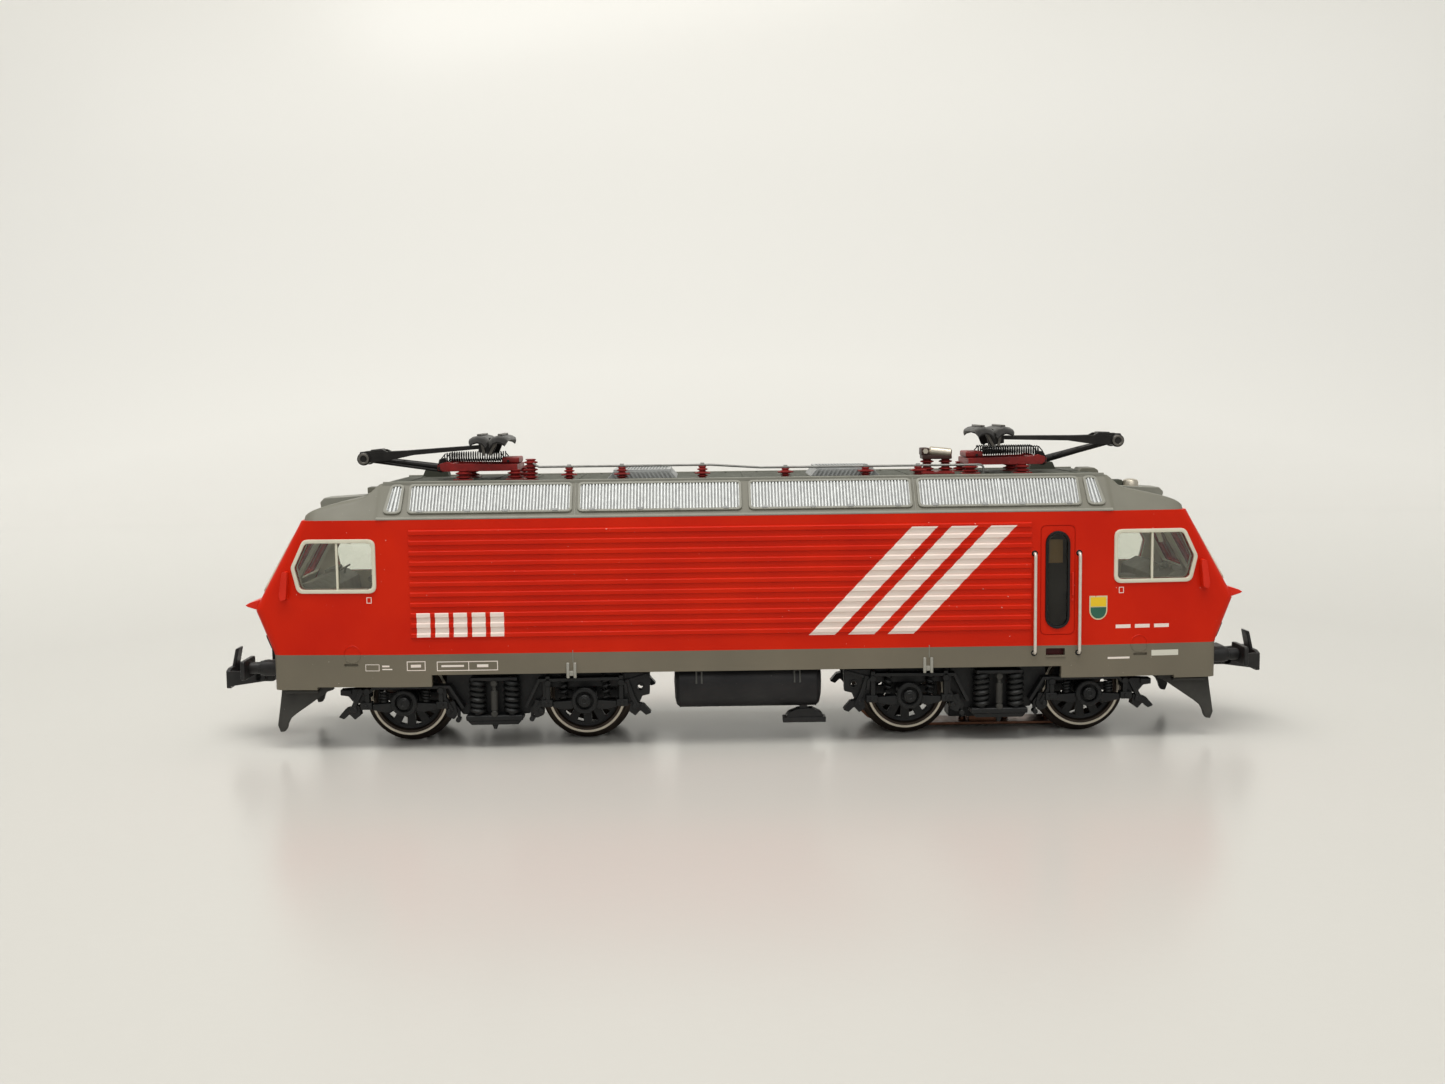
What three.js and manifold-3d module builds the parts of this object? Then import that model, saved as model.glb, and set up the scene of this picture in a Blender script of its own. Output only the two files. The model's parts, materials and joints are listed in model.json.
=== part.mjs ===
// An H0 (1:87) model of a four-axle electric locomotive for three-rail track.
//
// Frame: millimetres, +X along the locomotive, +Y to its far side, +Z up.
// Every height below is measured from the rail head. The finished group is then raised by the depth
// of the wheel flanges, so its origin is midway between the bogies at the foot of the flanges.
// "left" is the -X end and "right" the +X end; "near" is the -Y side and "far" the +Y side.
//
// Every mesh is one separate piece of the assembly. Bogies, wheelsets, couplers and pantographs
// are built at their own pivots and placed by groups.

import * as THREE from "three";
import { mergeVertices } from "three/addons/utils/BufferGeometryUtils.js";
import Module from "manifold-3d";

const wasm = await Module();
wasm.setup();

// ---------------------------------------------------------------- driving dimensions

const BODY = {
  halfWidth: 17.0,
  halfNose: 15.2, // half the width at the knee, where the cab sides have drawn in
  taperX: 62, // where the sides begin to draw in
  wall: 1.2,
  skirtBottom: 12.5, // between the bogies
  endSkirtBottom: 10.4, // beside the cabs
  skirtStepX: 56,
  paintLine: 16.2, // where the lower band ends and the nose begins to slope
  endX: 84.3,
  kneeX: 87.85,
  kneeZ: 24.3,
  topX: 79.2,
  top: 40.1,
};
const ROOF = {
  top: 46.3,
  parapet: 46.6,
  halfTop: 12.2,
  halfBase: 16.8,
  louverEndX: 65.0,
  cabTop: 44.0,
  frontX: 78.9,
  wall: 1.1,
};
const WINDOW = [
  [66.7, 27.9],
  [79.4, 27.9],
  [80.3, 31.8],
  [78.3, 36.1],
  [66.7, 36.1],
];
const DOOR_WINDOW = { x0: 53.0, x1: 57.4, z0: 19.2, z1: 36.7 };
const RAIL = { xs: [51.1, 59.0], z0: 14.9, z1: 32.7, r: 0.27, proud: 0.75, hole: 0.6 };
const RIBS = { count: 11, top: 37.85, pitch: 1.83, height: 0.7, proud: 0.25, x0: -59.3, x1: 50.5 };
const BOGIE = { pivotX: 45.2, halfWheelbase: 16.1, pinTop: 34.2, bearing: 1.12 };
const WHEEL = { tread: 7.25, flange: 8.45, inner: 7.1, outer: 9.95, bore: 1.06, axle: 0.95 };
const GEAR = { module: 0.4, wheel: 26, idler: 32, pinion: 10, y0: 5.95, y1: 6.85, pinionZ: 18.0 };
const BRIDGE = { z0: 31, z1: 33, bore: 1.75, pin: 1.5 };
const BUFFER = { y: 10.1, z: 13.05, faceX: 90.8, width: 6.9, height: 3.5 };
const LAMP = { y: 11.0, z: 18.0 };
const COUPLER = { pivotX: 74.0, z: 10.7, bailPivotX: 90.0, bailFrontX: 96.1, halfWidth: 4.8 };
const COUPLER_PLAY = { left: -0.3, right: 0.3 }; // how each coupler stands in its vertical play
const PANTO = {
  hingeX: 55.8,
  hingeZ: 48.5,
  frameZ: 48.0,
  frameTop: 49.5,
  beamY: 5.0,
  lowerArm: 14.2,
  upperArm: 22.2,
};
const SLIDER = { bottom: -0.9, halfLength: 23.8, halfWidth: 3.2 };
const MOTOR = { shaft: 0.75, shaftHole: 0.95, drum: 6.4, bore: 6.9 };
const WHEEL_SIDES = 20;
const CROSS_BEAM = { x0: 5.4, x1: 7.2, z0: 7.0, z1: 8.4, slack: 0.3 };

const COLOUR = {
  red: 0xb51f12,
  roofGrey: 0x86857a,
  black: 0x1c1c1d,
  metal: 0x9a9a98,
  brightMetal: 0xc9c7c0,
  darkMetal: 0x3a3a39,
  insulator: 0x8c1517,
  clear: 0xdfe6e6,
  cab: 0x8b8b80,
  board: 0x1f5a35,
  copper: 0xa4592f,
  rubber: 0x151515,
  nylon: 0xd8d2c0,
};

// ---------------------------------------------------------------- solids from three.js geometry

// A closed geometry as a manifold-3d solid, which joins and cuts exactly.
function solidOf(geometry) {
  const flat = geometry.index ? geometry.toNonIndexed() : geometry;
  const bare = new THREE.BufferGeometry();
  bare.setAttribute("position", flat.getAttribute("position").clone());
  const merged = mergeVertices(bare, 1e-4);
  const corners = merged.index.array;
  const kept = [];
  for (let i = 0; i < corners.length; i += 3) {
    const [a, b, c] = [corners[i], corners[i + 1], corners[i + 2]];
    if (a !== b && b !== c && a !== c) kept.push(a, b, c);
  }
  return new wasm.Manifold(
    new wasm.Mesh({
      numProp: 3,
      vertProperties: new Float32Array(merged.attributes.position.array),
      triVerts: new Uint32Array(kept),
    }),
  );
}

function geometryOf(solid) {
  const { numProp, numVert, vertProperties, triVerts } = solid.getMesh();
  const points = new Float32Array(numVert * 3);
  for (let i = 0; i < numVert; i++) {
    points.set(vertProperties.subarray(i * numProp, i * numProp + 3), i * 3);
  }
  const geometry = new THREE.BufferGeometry();
  geometry.setAttribute("position", new THREE.BufferAttribute(points, 3));
  geometry.setIndex(new THREE.BufferAttribute(new Uint32Array(triVerts), 1));
  geometry.computeVertexNormals();
  return geometry;
}

const join = (...parts) => geometryOf(parts.map(solidOf).reduce((a, b) => a.add(b)));
const cut = (base, ...tools) =>
  geometryOf(tools.map(solidOf).reduce((a, b) => a.subtract(b), solidOf(base)));
const common = (...parts) => geometryOf(parts.map(solidOf).reduce((a, b) => a.intersect(b)));

const moved = (geometry, x, y, z) => geometry.clone().translate(x, y, z);

function mirrored(geometry, x, y) {
  const made = solidOf(geometry).mirror(x ? [1, 0, 0] : [0, 1, 0]);
  return geometryOf(x && y ? made.mirror([0, 1, 0]) : made);
}

const mirroredX = (geometry) => mirrored(geometry, true, false);
const mirroredY = (geometry) => mirrored(geometry, false, true);
const bothSides = (geometry) => join(geometry, mirroredY(geometry));

// ---------------------------------------------------------------- basic shapes, placed in the part's axes

function box(x0, x1, y0, y1, z0, z1) {
  const made = new THREE.BoxGeometry(x1 - x0, y1 - y0, z1 - z0);
  return made.translate((x0 + x1) / 2, (y0 + y1) / 2, (z0 + z1) / 2);
}

// Across a wall with room to spare on both sides, for tools that cut right through it.
const THROUGH_SIDE = [-BODY.halfWidth - 1, -BODY.halfWidth + BODY.wall + 0.4];

const shapeOf = (points) => new THREE.Shape(points.map(([u, v]) => new THREE.Vector2(u, v)));

const extruded = (points, depth) =>
  new THREE.ExtrudeGeometry(shapeOf(points), { depth, bevelEnabled: false });

// A side-view outline of [x, z] points, run across the part from y0 to y1.
function prismAcross(points, y0, y1) {
  return extruded(points, y1 - y0).rotateX(Math.PI / 2).translate(0, y1, 0);
}

// An end-view outline of [y, z] points, run along the part from x0 to x1.
function prismAlong(points, x0, x1) {
  return extruded(points, x1 - x0).rotateX(Math.PI / 2).rotateZ(Math.PI / 2).translate(x0, 0, 0);
}

function rodAcross(r, x, z, y0, y1, sides = 8) {
  return new THREE.CylinderGeometry(r, r, y1 - y0, sides).translate(x, (y0 + y1) / 2, z);
}

function rodUp(r, x, y, z0, z1, sides = 8) {
  const made = new THREE.CylinderGeometry(r, r, z1 - z0, sides).rotateX(Math.PI / 2);
  return made.translate(x, y, (z0 + z1) / 2);
}

function rodAlong(r, y, z, x0, x1, sides = 8) {
  const made = new THREE.CylinderGeometry(r, r, x1 - x0, sides).rotateZ(Math.PI / 2);
  return made.translate((x0 + x1) / 2, y, z);
}

// A profile of [radius, height] points turned about the vertical through x, y.
function turnedUp(profile, x, y, sides = 12) {
  const points = profile.map(([r, h]) => new THREE.Vector2(r, h));
  return new THREE.LatheGeometry(points, sides).rotateX(Math.PI / 2).translate(x, y, 0);
}

// A profile of [radius, y] points turned about the axle line.
function turnedAcross(profile, sides = 12) {
  return new THREE.LatheGeometry(
    profile.map(([r, y]) => new THREE.Vector2(r, y)),
    sides,
  );
}

// The outline of a flat strip of half-width r along a bent line of [u, v] points, mitred at the bends.
function strip(points, r) {
  const unit = (a, b) => new THREE.Vector2(b[0] - a[0], b[1] - a[1]).normalize();
  const last = points.length - 1;
  const edge = (sign) =>
    points.map(([u, v], i) => {
      const before = unit(points[Math.max(i - 1, 0)], points[Math.max(i, 1)]);
      const after = unit(points[Math.min(i, last - 1)], points[Math.min(i + 1, last)]);
      const reach = (sign * r) / (1 + before.dot(after));
      return [u - (before.y + after.y) * reach, v + (before.x + after.x) * reach];
    });
  return [...edge(1), ...edge(-1).reverse()];
}

const material = (color, roughness, metalness = 0, opacity = 1) =>
  new THREE.MeshStandardMaterial({ color, roughness, metalness, opacity, transparent: opacity < 1 });

const MATERIAL = {
  redPaint: material(COLOUR.red, 0.4),
  roofPaint: material(COLOUR.roofGrey, 0.55),
  blackPlastic: material(COLOUR.black, 0.5),
  castMetal: material(COLOUR.metal, 0.5, 0.9),
  steel: material(COLOUR.brightMetal, 0.3, 0.9),
  blackened: material(COLOUR.darkMetal, 0.4, 0.7),
  insulator: material(COLOUR.insulator, 0.45),
  clear: material(COLOUR.clear, 0.1, 0, 0.35),
  cab: material(COLOUR.cab, 0.6),
  board: material(COLOUR.board, 0.6),
  copper: material(COLOUR.copper, 0.45, 0.8),
  rubber: material(COLOUR.rubber, 0.9),
  nylon: material(COLOUR.nylon, 0.5),
};

function piece(name, geometry, finish) {
  const mesh = new THREE.Mesh(geometry, finish);
  mesh.name = name;
  return mesh;
}

function placed(x, y, z, ...children) {
  const group = new THREE.Group();
  group.position.set(x, y, z);
  group.add(...children);
  return group;
}

// ---------------------------------------------------------------- body shell

// How far the upper nose slopes back for each millimetre of height.
const NOSE_SLOPE = (BODY.kneeX - BODY.topX) / (BODY.top - BODY.kneeZ);
const noseX = (z, inset) => BODY.kneeX - (z - BODY.kneeZ) * NOSE_SLOPE - inset;

// The plan view: parallel sides that draw in beside the cabs, as an upright prism to trim a piece with.
function planPrism(inset, z0, z1) {
  const far = 95;
  const taper = (BODY.halfWidth - BODY.halfNose) / (BODY.kneeX - BODY.taperX);
  const halfAtFar = BODY.halfWidth - (far - BODY.taperX) * taper - inset;
  const half = BODY.halfWidth - inset;
  const outline = [
    [far, -halfAtFar],
    [far, halfAtFar],
    [BODY.taperX, half],
    [-BODY.taperX, half],
    [-far, halfAtFar],
    [-far, -halfAtFar],
    [-BODY.taperX, -half],
    [BODY.taperX, -half],
  ];
  return extruded(outline, z1 - z0).translate(0, 0, z0);
}

// Half of the side-view outline, from the skirt up over the nose; inset keeps a wall's thickness inside it.
function noseOutline(inset, bottom, top) {
  const { endX, kneeX, kneeZ, paintLine } = BODY;
  return [
    [endX - inset, bottom],
    [endX - inset, paintLine],
    [kneeX - inset, kneeZ],
    [noseX(top, inset), top],
  ];
}

function fullOutline(inset, bottom, top) {
  const right = noseOutline(inset, bottom, top);
  return [...right, ...right.map(([x, z]) => [-x, z]).reverse()];
}

const slotOutline = ({ x0, x1, z0, z1 }) => {
  const r = (x1 - x0) / 2;
  const arc = (zc, from) =>
    Array.from({ length: 5 }, (_, i) => {
      const a = from + (i * Math.PI) / 4;
      return [x0 + r + r * Math.cos(a), zc + r * Math.sin(a)];
    });
  return [...arc(z1 - r, 0), ...arc(z0 + r, Math.PI)];
};

const turnedRound = (geometry) => geometry.clone().rotateZ(Math.PI);

// The openings of one cab: two side windows, two windscreen panes, two lamp holes, the holes for the
// buffer stems and the slot that lets the coupler swing.
function cabOpenings() {
  const side = prismAcross(WINDOW, -BODY.halfWidth - 1, BODY.halfWidth + 1);
  const pane = box(76, 90, 0.9, 13.4, 28.0, 37.2);
  const lamp = rodAlong(1.1, LAMP.y, LAMP.z, 80, 90);
  const stem = rodAlong(1.6, BUFFER.y, BUFFER.z, 78, 86);
  const couplerSlot = box(80, 86, -6.2, 6.2, 9, 13.2);
  return [side, pane, mirroredY(pane), lamp, mirroredY(lamp), stem, mirroredY(stem), couplerSlot];
}

// What is special to the side with the door on its right: window, handrail holes and the step hole.
function doorOpenings() {
  const railHole = (x, z) => rodAcross(RAIL.hole, x, z, ...THROUGH_SIDE, 6);
  const holes = RAIL.xs.flatMap((x) => [railHole(x, RAIL.z0), railHole(x, RAIL.z1)]);
  const stepHole = box(53.2, 56.6, ...THROUGH_SIDE, 14.4, 15.7);
  return [prismAcross(slotOutline(DOOR_WINDOW), ...THROUGH_SIDE), stepHole, ...holes];
}

function sideRibs() {
  const { count, top, pitch, height, proud, x0, x1 } = RIBS;
  const half = height / 2;
  return Array.from({ length: count }, (_, i) => {
    const z = top - i * pitch;
    return box(x0, x1, -BODY.halfWidth - proud, -BODY.halfWidth + 0.3, z - half, z + half);
  });
}

// The narrow ledge across the nose at its knee.
function kneeLedge() {
  const outline = [
    [86.9, 24.1],
    [89.0, 24.8],
    [88.6, 25.2],
    [86.6, 25.9],
  ];
  return prismAcross(outline, -9.5, 9.5);
}

function bodyShell() {
  const { halfWidth, wall, skirtStepX, skirtBottom, endSkirtBottom, top } = BODY;
  const side = prismAcross(fullOutline(0, endSkirtBottom, top), -halfWidth, halfWidth);
  const hollow = prismAcross(fullOutline(wall, 5, top + 2), wall - halfWidth, halfWidth - wall);
  const outer = common(side, planPrism(0, 0, 60));
  const inner = common(hollow, planPrism(wall, 0, 60));
  const underSkirt = box(-skirtStepX, skirtStepX, -20, 20, 5, skirtBottom);
  const half = [kneeLedge(), ...sideRibs()];
  const openings = [...cabOpenings(), ...doorOpenings()];
  const solid = join(outer, ...half, ...half.map(turnedRound));
  return cut(solid, inner, underSkirt, ...openings, ...openings.map(turnedRound));
}

// ---------------------------------------------------------------- roof

const roofSection = (inset) => {
  const { halfBase, halfTop, top } = ROOF;
  const slope = (halfBase - halfTop) / (top - BODY.top);
  const base = inset ? BODY.top - 3 : BODY.top;
  const halfLow = halfBase - inset + (BODY.top - base) * slope;
  return [
    [-halfLow, base],
    [halfLow, base],
    [halfTop - inset, top - inset],
    [-(halfTop - inset), top - inset],
  ];
};

const roofSilhouette = (inset) => {
  const base = inset ? BODY.top - 3 : BODY.top;
  const right = [
    [ROOF.frontX - inset, base],
    [ROOF.frontX - 0.2 - inset, 40.9 - inset / 2],
    [77.2 - inset, 41.6 - inset],
    [67.6 - inset, ROOF.cabTop - inset],
    [ROOF.louverEndX + 1.0 - inset, 45.2 - inset],
    [ROOF.louverEndX - inset, ROOF.top - inset],
  ];
  return [...right, ...right.map(([x, z]) => [-x, z]).reverse()];
};

// The lens housing on the cab roof's centre line.
function roofFairing() {
  const outline = [
    [67.8, 42.4],
    [76.6, 41.0],
    [78.2, 41.0],
    [78.2, 42.6],
    [77.4, 43.3],
    [70.2, 43.5],
    [67.8, 44.4],
  ];
  return prismAcross(outline, -2.6, 2.6);
}

// Shallow fields for the ventilation grilles on one sloping side.
const LOUVER_FIELDS = [
  [-64.0, -61.0],
  [-60.2, -30.4],
  [-29.7, -0.55],
  [0.55, 29.7],
  [30.4, 60.2],
  [61.0, 64.0],
];

function louverRecesses() {
  const run = ROOF.halfBase - ROOF.halfTop;
  const rise = ROOF.top - BODY.top;
  const at = (share, depth) => [
    -ROOF.halfBase + run * share + (depth * rise) / Math.hypot(run, rise),
    BODY.top + rise * share - (depth * run) / Math.hypot(run, rise),
  ];
  const outline = [at(0.2, -0.6), at(0.2, 0.35), at(0.82, 0.35), at(0.82, -0.6)];
  return LOUVER_FIELDS.map(([x0, x1]) => prismAlong(outline, x0, x1));
}

// What stands on the right-hand half of the roof: a parapet, an air outlet, two hatches and the fairing.
function roofFittings() {
  const { top, parapet, halfTop, louverEndX } = ROOF;
  const edge = box(0, louverEndX - 0.6, halfTop - 0.7, halfTop - 0.1, top - 0.5, parapet);
  const outlet = prismAcross(
    [
      [12.0, top - 0.4],
      [25.0, top - 0.4],
      [23.6, 47.5],
      [13.4, 47.5],
    ],
    -6.4,
    6.4,
  );
  const hatch = prismAcross(
    [
      [54.6, top - 0.4],
      [59.6, top - 0.4],
      [58.8, 47.3],
      [55.2, 47.3],
    ],
    -11.0,
    -8.0,
  );
  return [edge, mirroredY(edge), outlet, hatch, mirroredY(hatch), roofFairing()];
}

// The roof's outside form, or with an inset the hollow that leaves a wall of that thickness.
function roofForm(inset) {
  const long = prismAcross(roofSilhouette(inset), -18, 18);
  const section = prismAlong(roofSection(inset), -80, 80);
  return common(long, section, planPrism(0.2 + inset, 30, 50));
}

function roofShell() {
  const lip = box(-60, 60, 14.6, 15.6, BODY.top - 1.2, BODY.top + 0.6);
  const hornCover = box(62.8, 66.8, -1.6, 1.6, ROOF.cabTop - 0.6, 46.9); // at the right end only
  const fittings = roofFittings();
  const whole = join(
    cut(roofForm(0), roofForm(ROOF.wall)),
    bothSides(lip),
    hornCover,
    ...fittings,
    ...fittings.map(turnedRound),
  );
  const recesses = louverRecesses();
  return cut(whole, ...recesses, ...recesses.map(turnedRound));
}

// ---------------------------------------------------------------- fittings on the body

// Clear glazing that wraps round the inside of a cab's nose, open above, below and to the rear.
function cabGlazing() {
  const [gap, thick, rear] = [0.15, 0.8, 64.2];
  const block = (depth, back, z0, z1) => {
    const outline = [[back, z0], [noseX(z0, depth), z0], [noseX(z1, depth), z1], [back, z1]];
    return common(prismAcross(outline, -20, 20), planPrism(depth, 20, 45));
  };
  return cut(block(BODY.wall + gap, rear, 25.6, 38.4), block(BODY.wall + gap + thick, rear - 1, 25, 39));
}

function cabInterior() {
  const floor = box(62, 80.5, -13.5, 13.5, 23.6, 24.6);
  const bulkhead = box(62, 63, -13.5, 13.5, 24.6, 35.2);
  const desk = prismAcross(
    [
      [74.5, 24.6],
      [80.4, 24.6],
      [79.6, 28.2],
      [74.5, 27.2],
    ],
    -12.8,
    12.8,
  );
  const seat = join(box(68.4, 71.2, -8.6, -5.4, 24.6, 27.6), box(68.0, 68.9, -8.6, -5.4, 24.6, 31.2));
  return join(floor, bulkhead, desk, seat);
}

// A clear pane that fills the door's opening, with a wider plate behind the wall.
function doorWindow() {
  const { x0, x1, z0, z1 } = DOOR_WINDOW;
  const [gap, lap] = [0.25, 0.8];
  const filled = slotOutline({ x0: x0 + gap, x1: x1 - gap, z0: z0 + gap, z1: z1 - gap });
  const pane = prismAcross(filled, -16.6, -15.4);
  return join(pane, box(x0 - lap, x1 + lap, -15.55, -14.9, z0 - lap, z1 + lap));
}

// Two bent wires, joined behind the wall by the strip that holds them.
function doorHandrails() {
  const { xs, z0, z1, r, proud } = RAIL;
  const out = -BODY.halfWidth - proud;
  const inside = -BODY.halfWidth + BODY.wall + 0.3;
  const bent = strip([[inside, z1], [out, z1], [out, z0], [inside, z0]], r);
  const rails = xs.map((x) => prismAlong(bent, x - r, x + r));
  const holder = box(xs[0] - 0.6, xs[1] + 0.6, inside - 0.2, inside + 0.3, z0 - 0.3, z0 + 0.5);
  return join(...rails, holder);
}

// Buffers, the bar that carries them behind the end wall, and the snow plough under it.
function endSkirt() {
  const { y, z, faceX, width, height } = BUFFER;
  const bar = box(80.8, 82.2, -13, 13, 10.8, 14.6);
  const buffer = join(
    rodAlong(1.2, y, z, 81.5, 85.0),
    box(84.4, 84.9, y - 1.6, y + 1.6, z - 1.6, z + 1.6),
    rodAlong(1.4, y, z, 84.8, 88.0),
    rodAlong(1.05, y, z, 87.8, faceX - 0.4),
    box(faceX - 0.8, faceX, y - width / 2, y + width / 2, z - height / 2, z + height / 2),
  );
  const blade = prismAcross(
    [
      [83.2, 10.0],
      [83.6, 7.4],
      [84.3, 3.2],
      [83.9, 2.0],
      [83.1, 2.0],
      [82.8, 7.4],
      [82.2, 10.0],
    ],
    -13.6,
    13.6,
  );
  const cheek = prismAcross(
    [
      [74.4, 10.0],
      [74.4, 9.3],
      [81.2, 5.4],
      [82.1, 4.6],
      [82.7, 2.6],
      [83.1, 2.0],
      [83.9, 2.0],
      [84.3, 3.2],
      [83.6, 7.4],
      [83.2, 10.0],
    ],
    12.8,
    13.8,
  );
  const notch = box(70, 90, -4.6, 4.6, 6.2, 13.0);
  const hanger = box(80.8, 83.0, 5, 13, 9.4, 11.0);
  return cut(join(bar, bothSides(buffer), blade, bothSides(cheek), bothSides(hanger)), notch);
}

// One clear bar with two lower lenses that reach through the lamp holes.
function lightGuide() {
  const { y, z } = LAMP;
  const bar = box(80.0, 81.6, -12.2, 12.2, z - 0.8, z + 0.8);
  const lens = rodAlong(0.9, y, z, 81, 85.9);
  return join(bar, bothSides(lens));
}

function circuitBoard() {
  const board = box(-60, 60, -9, 9, 35.4, 36.4);
  const chips = [
    box(-12, -4, -5, 5, 36.4, 38.2),
    box(6, 16, -6, 2, 36.4, 39.4),
    rodUp(2.4, 26, 3, 36.4, 41.4),
    box(58.4, 60.4, -1.6, 1.6, 36.2, 38.4),
    box(-60.4, -58.4, -1.6, 1.6, 36.2, 38.4),
  ];
  return join(board, ...chips);
}

// Two round tanks along the sides, the flat-bottomed box between them, and the magnet below one of them.
function underfloorTank() {
  const [x0, x1, top] = [-13.0, 13.9, 12.3];
  const round = rodAlong(5.15, 10.0, 9.2, x0, x1, 20);
  const keel = box(x0, x1, -6.5, 6.5, 4.05, top);
  const above = box(x0 - 1, x1 + 1, -20, 20, top, 20);
  const stem = box(9.8, 11.0, -11.8, -10.4, 3.0, 6.0);
  const magnet = prismAcross(
    [
      [7.0, 1.5],
      [14.3, 1.5],
      [14.0, 2.3],
      [13.0, 3.2],
      [11.4, 4.0],
      [9.6, 4.0],
      [8.2, 3.2],
      [7.3, 2.3],
    ],
    -12.4,
    -9.8,
  );
  return cut(join(bothSides(round), keel, stem, magnet), above);
}

// A slotted screw, head down, that holds the body to the chassis.
function bodyScrew() {
  const shank = rodUp(0.9, 0, 0, 16.6, 26, 12);
  const head = rodUp(1.9, 0, 0, 14.9, 16.7, 16);
  const slot = box(-2.5, 2.5, -0.25, 0.25, 14.5, 15.5);
  return cut(join(shank, head), slot);
}

// ---------------------------------------------------------------- roof equipment

const LINE = {
  y: -9.2,
  r: 0.2,
  base: 46.35,
  highX: [-31.5, -22.0, -7.5],
  lowX: [7.5, 22.0, 31.5],
  high: 48.8,
  low: 48.2,
  leftEnd: -37.6,
  bendX: 43.4,
};

function insulatorProfile(bottom, top, r) {
  const h = top - bottom;
  return [
    [0, bottom],
    [r, bottom],
    [r, bottom + h * 0.4],
    [r * 0.6, bottom + h * 0.55],
    [r * 0.6, top],
    [0, top],
  ];
}

// The posts under the roof wire, each ending just below it, on the strip that ties them together.
function roofInsulators() {
  const { y, r, base, highX, lowX, high, low } = LINE;
  const tie = box(highX[0] - 1, lowX[2] + 1, y - 0.7, y + 0.7, base, base + 0.25);
  const post = (x, top) => turnedUp(insulatorProfile(base, top - r - 0.05, 1.0), x, y, 8);
  return join(tie, ...highX.map((x) => post(x, high)), ...lowX.map((x) => post(x, low)));
}

function roofConductor() {
  const { y, r, high, low, leftEnd, bendX } = LINE;
  const line = [
    [leftEnd, high],
    [-6.0, high],
    [3.0, low],
    [bendX, low],
    [bendX, 46.7],
  ];
  return prismAcross(strip(line, r), y - r, y + r);
}

function mainBreaker() {
  const base = box(32.6, 38.8, -5.6, 1.2, 46.4, 46.8);
  const posts = [34.0, 37.4].map((x) => turnedUp(insulatorProfile(46.7, 49.2, 1.2), x, -3.4, 10));
  const housing = join(box(33.4, 38.6, -4.6, -1.2, 49.0, 50.6), rodAcross(1.1, 35.8, 50.2, -5.4, -0.6, 14));
  return join(base, ...posts, housing);
}

// ---------------------------------------------------------------- chassis

function chassisFrame() {
  const plate = common(box(-80.4, 80.4, -16, 16, 12.6, 14.6), planPrism(BODY.wall + 0.9, 12, 15));
  const wellHalf = 27.4;
  const well = box(BOGIE.pivotX - wellHalf, BOGIE.pivotX + wellHalf, -13.7, 13.7, 10, 40);
  const weight = box(-15.5, 15.5, -10.5, 10.5, 14.6, BRIDGE.z1);
  const bridge = box(14, BOGIE.pivotX + 3.4, -4.4, 4.4, BRIDGE.z0, BRIDGE.z1);
  const bore = rodUp(BRIDGE.bore, BOGIE.pivotX, 0, 28, 36, 16);
  const couplerPin = rodUp(1.0, COUPLER.pivotX, 0, 8.9, 13.0);
  const screwHole = join(rodUp(2.3, 0, 0, 8, 17.0, 16), rodUp(1.2, 0, 0, 8, 27.5, 16));
  const endBlock = box(72.5, 76.4, -4.0, 4.0, 12.1, 13.0);
  const whole = join(
    cut(plate, well, turnedRound(well)),
    weight,
    bridge,
    turnedRound(bridge),
    endBlock,
    turnedRound(endBlock),
    couplerPin,
    turnedRound(couplerPin),
  );
  return cut(whole, bore, turnedRound(bore), screwHole);
}

// ---------------------------------------------------------------- gears and wheelsets

// Straight-sided teeth with wide backlash, phase being the angle of one tooth's middle in the x-z plane.
function gear(teeth, phase, y0, y1, bore) {
  const pitchRadius = (GEAR.module * teeth) / 2;
  const root = pitchRadius - 0.46;
  const tip = pitchRadius + 0.32;
  const step = (2 * Math.PI) / teeth;
  const outline = [];
  for (let i = 0; i < teeth; i++) {
    const middle = phase + i * step;
    for (const [share, r] of [[-0.27, root], [-0.13, tip], [0.13, tip], [0.27, root]]) {
      outline.push([r * Math.cos(middle + share * step), r * Math.sin(middle + share * step)]);
    }
  }
  const body = prismAcross(outline, y0, y1);
  return bore ? cut(body, rodAcross(bore, 0, 0, y0 - 1, y1 + 1)) : body;
}

// The phase of a gear whose gap faces the tooth of its driver along the line of centres.
function meshedPhase(from, to, fromPhase, fromTeeth, toTeeth) {
  const line = Math.atan2(to[1] - from[1], to[0] - from[0]);
  const driverStep = (2 * Math.PI) / fromTeeth;
  const offset = (line - fromPhase) / driverStep;
  const share = offset - Math.round(offset);
  const step = (2 * Math.PI) / toTeeth;
  return line + Math.PI + step / 2 + share * step;
}

// Centres in a bogie's own frame. The idler stands where it is in mesh with both of its neighbours.
const AXLE = [BOGIE.halfWheelbase, WHEEL.tread];
const PINION = [0, GEAR.pinionZ];
const IDLER = (() => {
  const a = (GEAR.module * (GEAR.wheel + GEAR.idler)) / 2;
  const b = (GEAR.module * (GEAR.pinion + GEAR.idler)) / 2;
  const [dx, dz] = [PINION[0] - AXLE[0], PINION[1] - AXLE[1]];
  const d = Math.hypot(dx, dz);
  const along = (a * a - b * b + d * d) / (2 * d);
  const off = Math.sqrt(a * a - along * along);
  return [AXLE[0] + (dx * along + dz * off) / d, AXLE[1] + (dz * along - dx * off) / d];
})();

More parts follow.
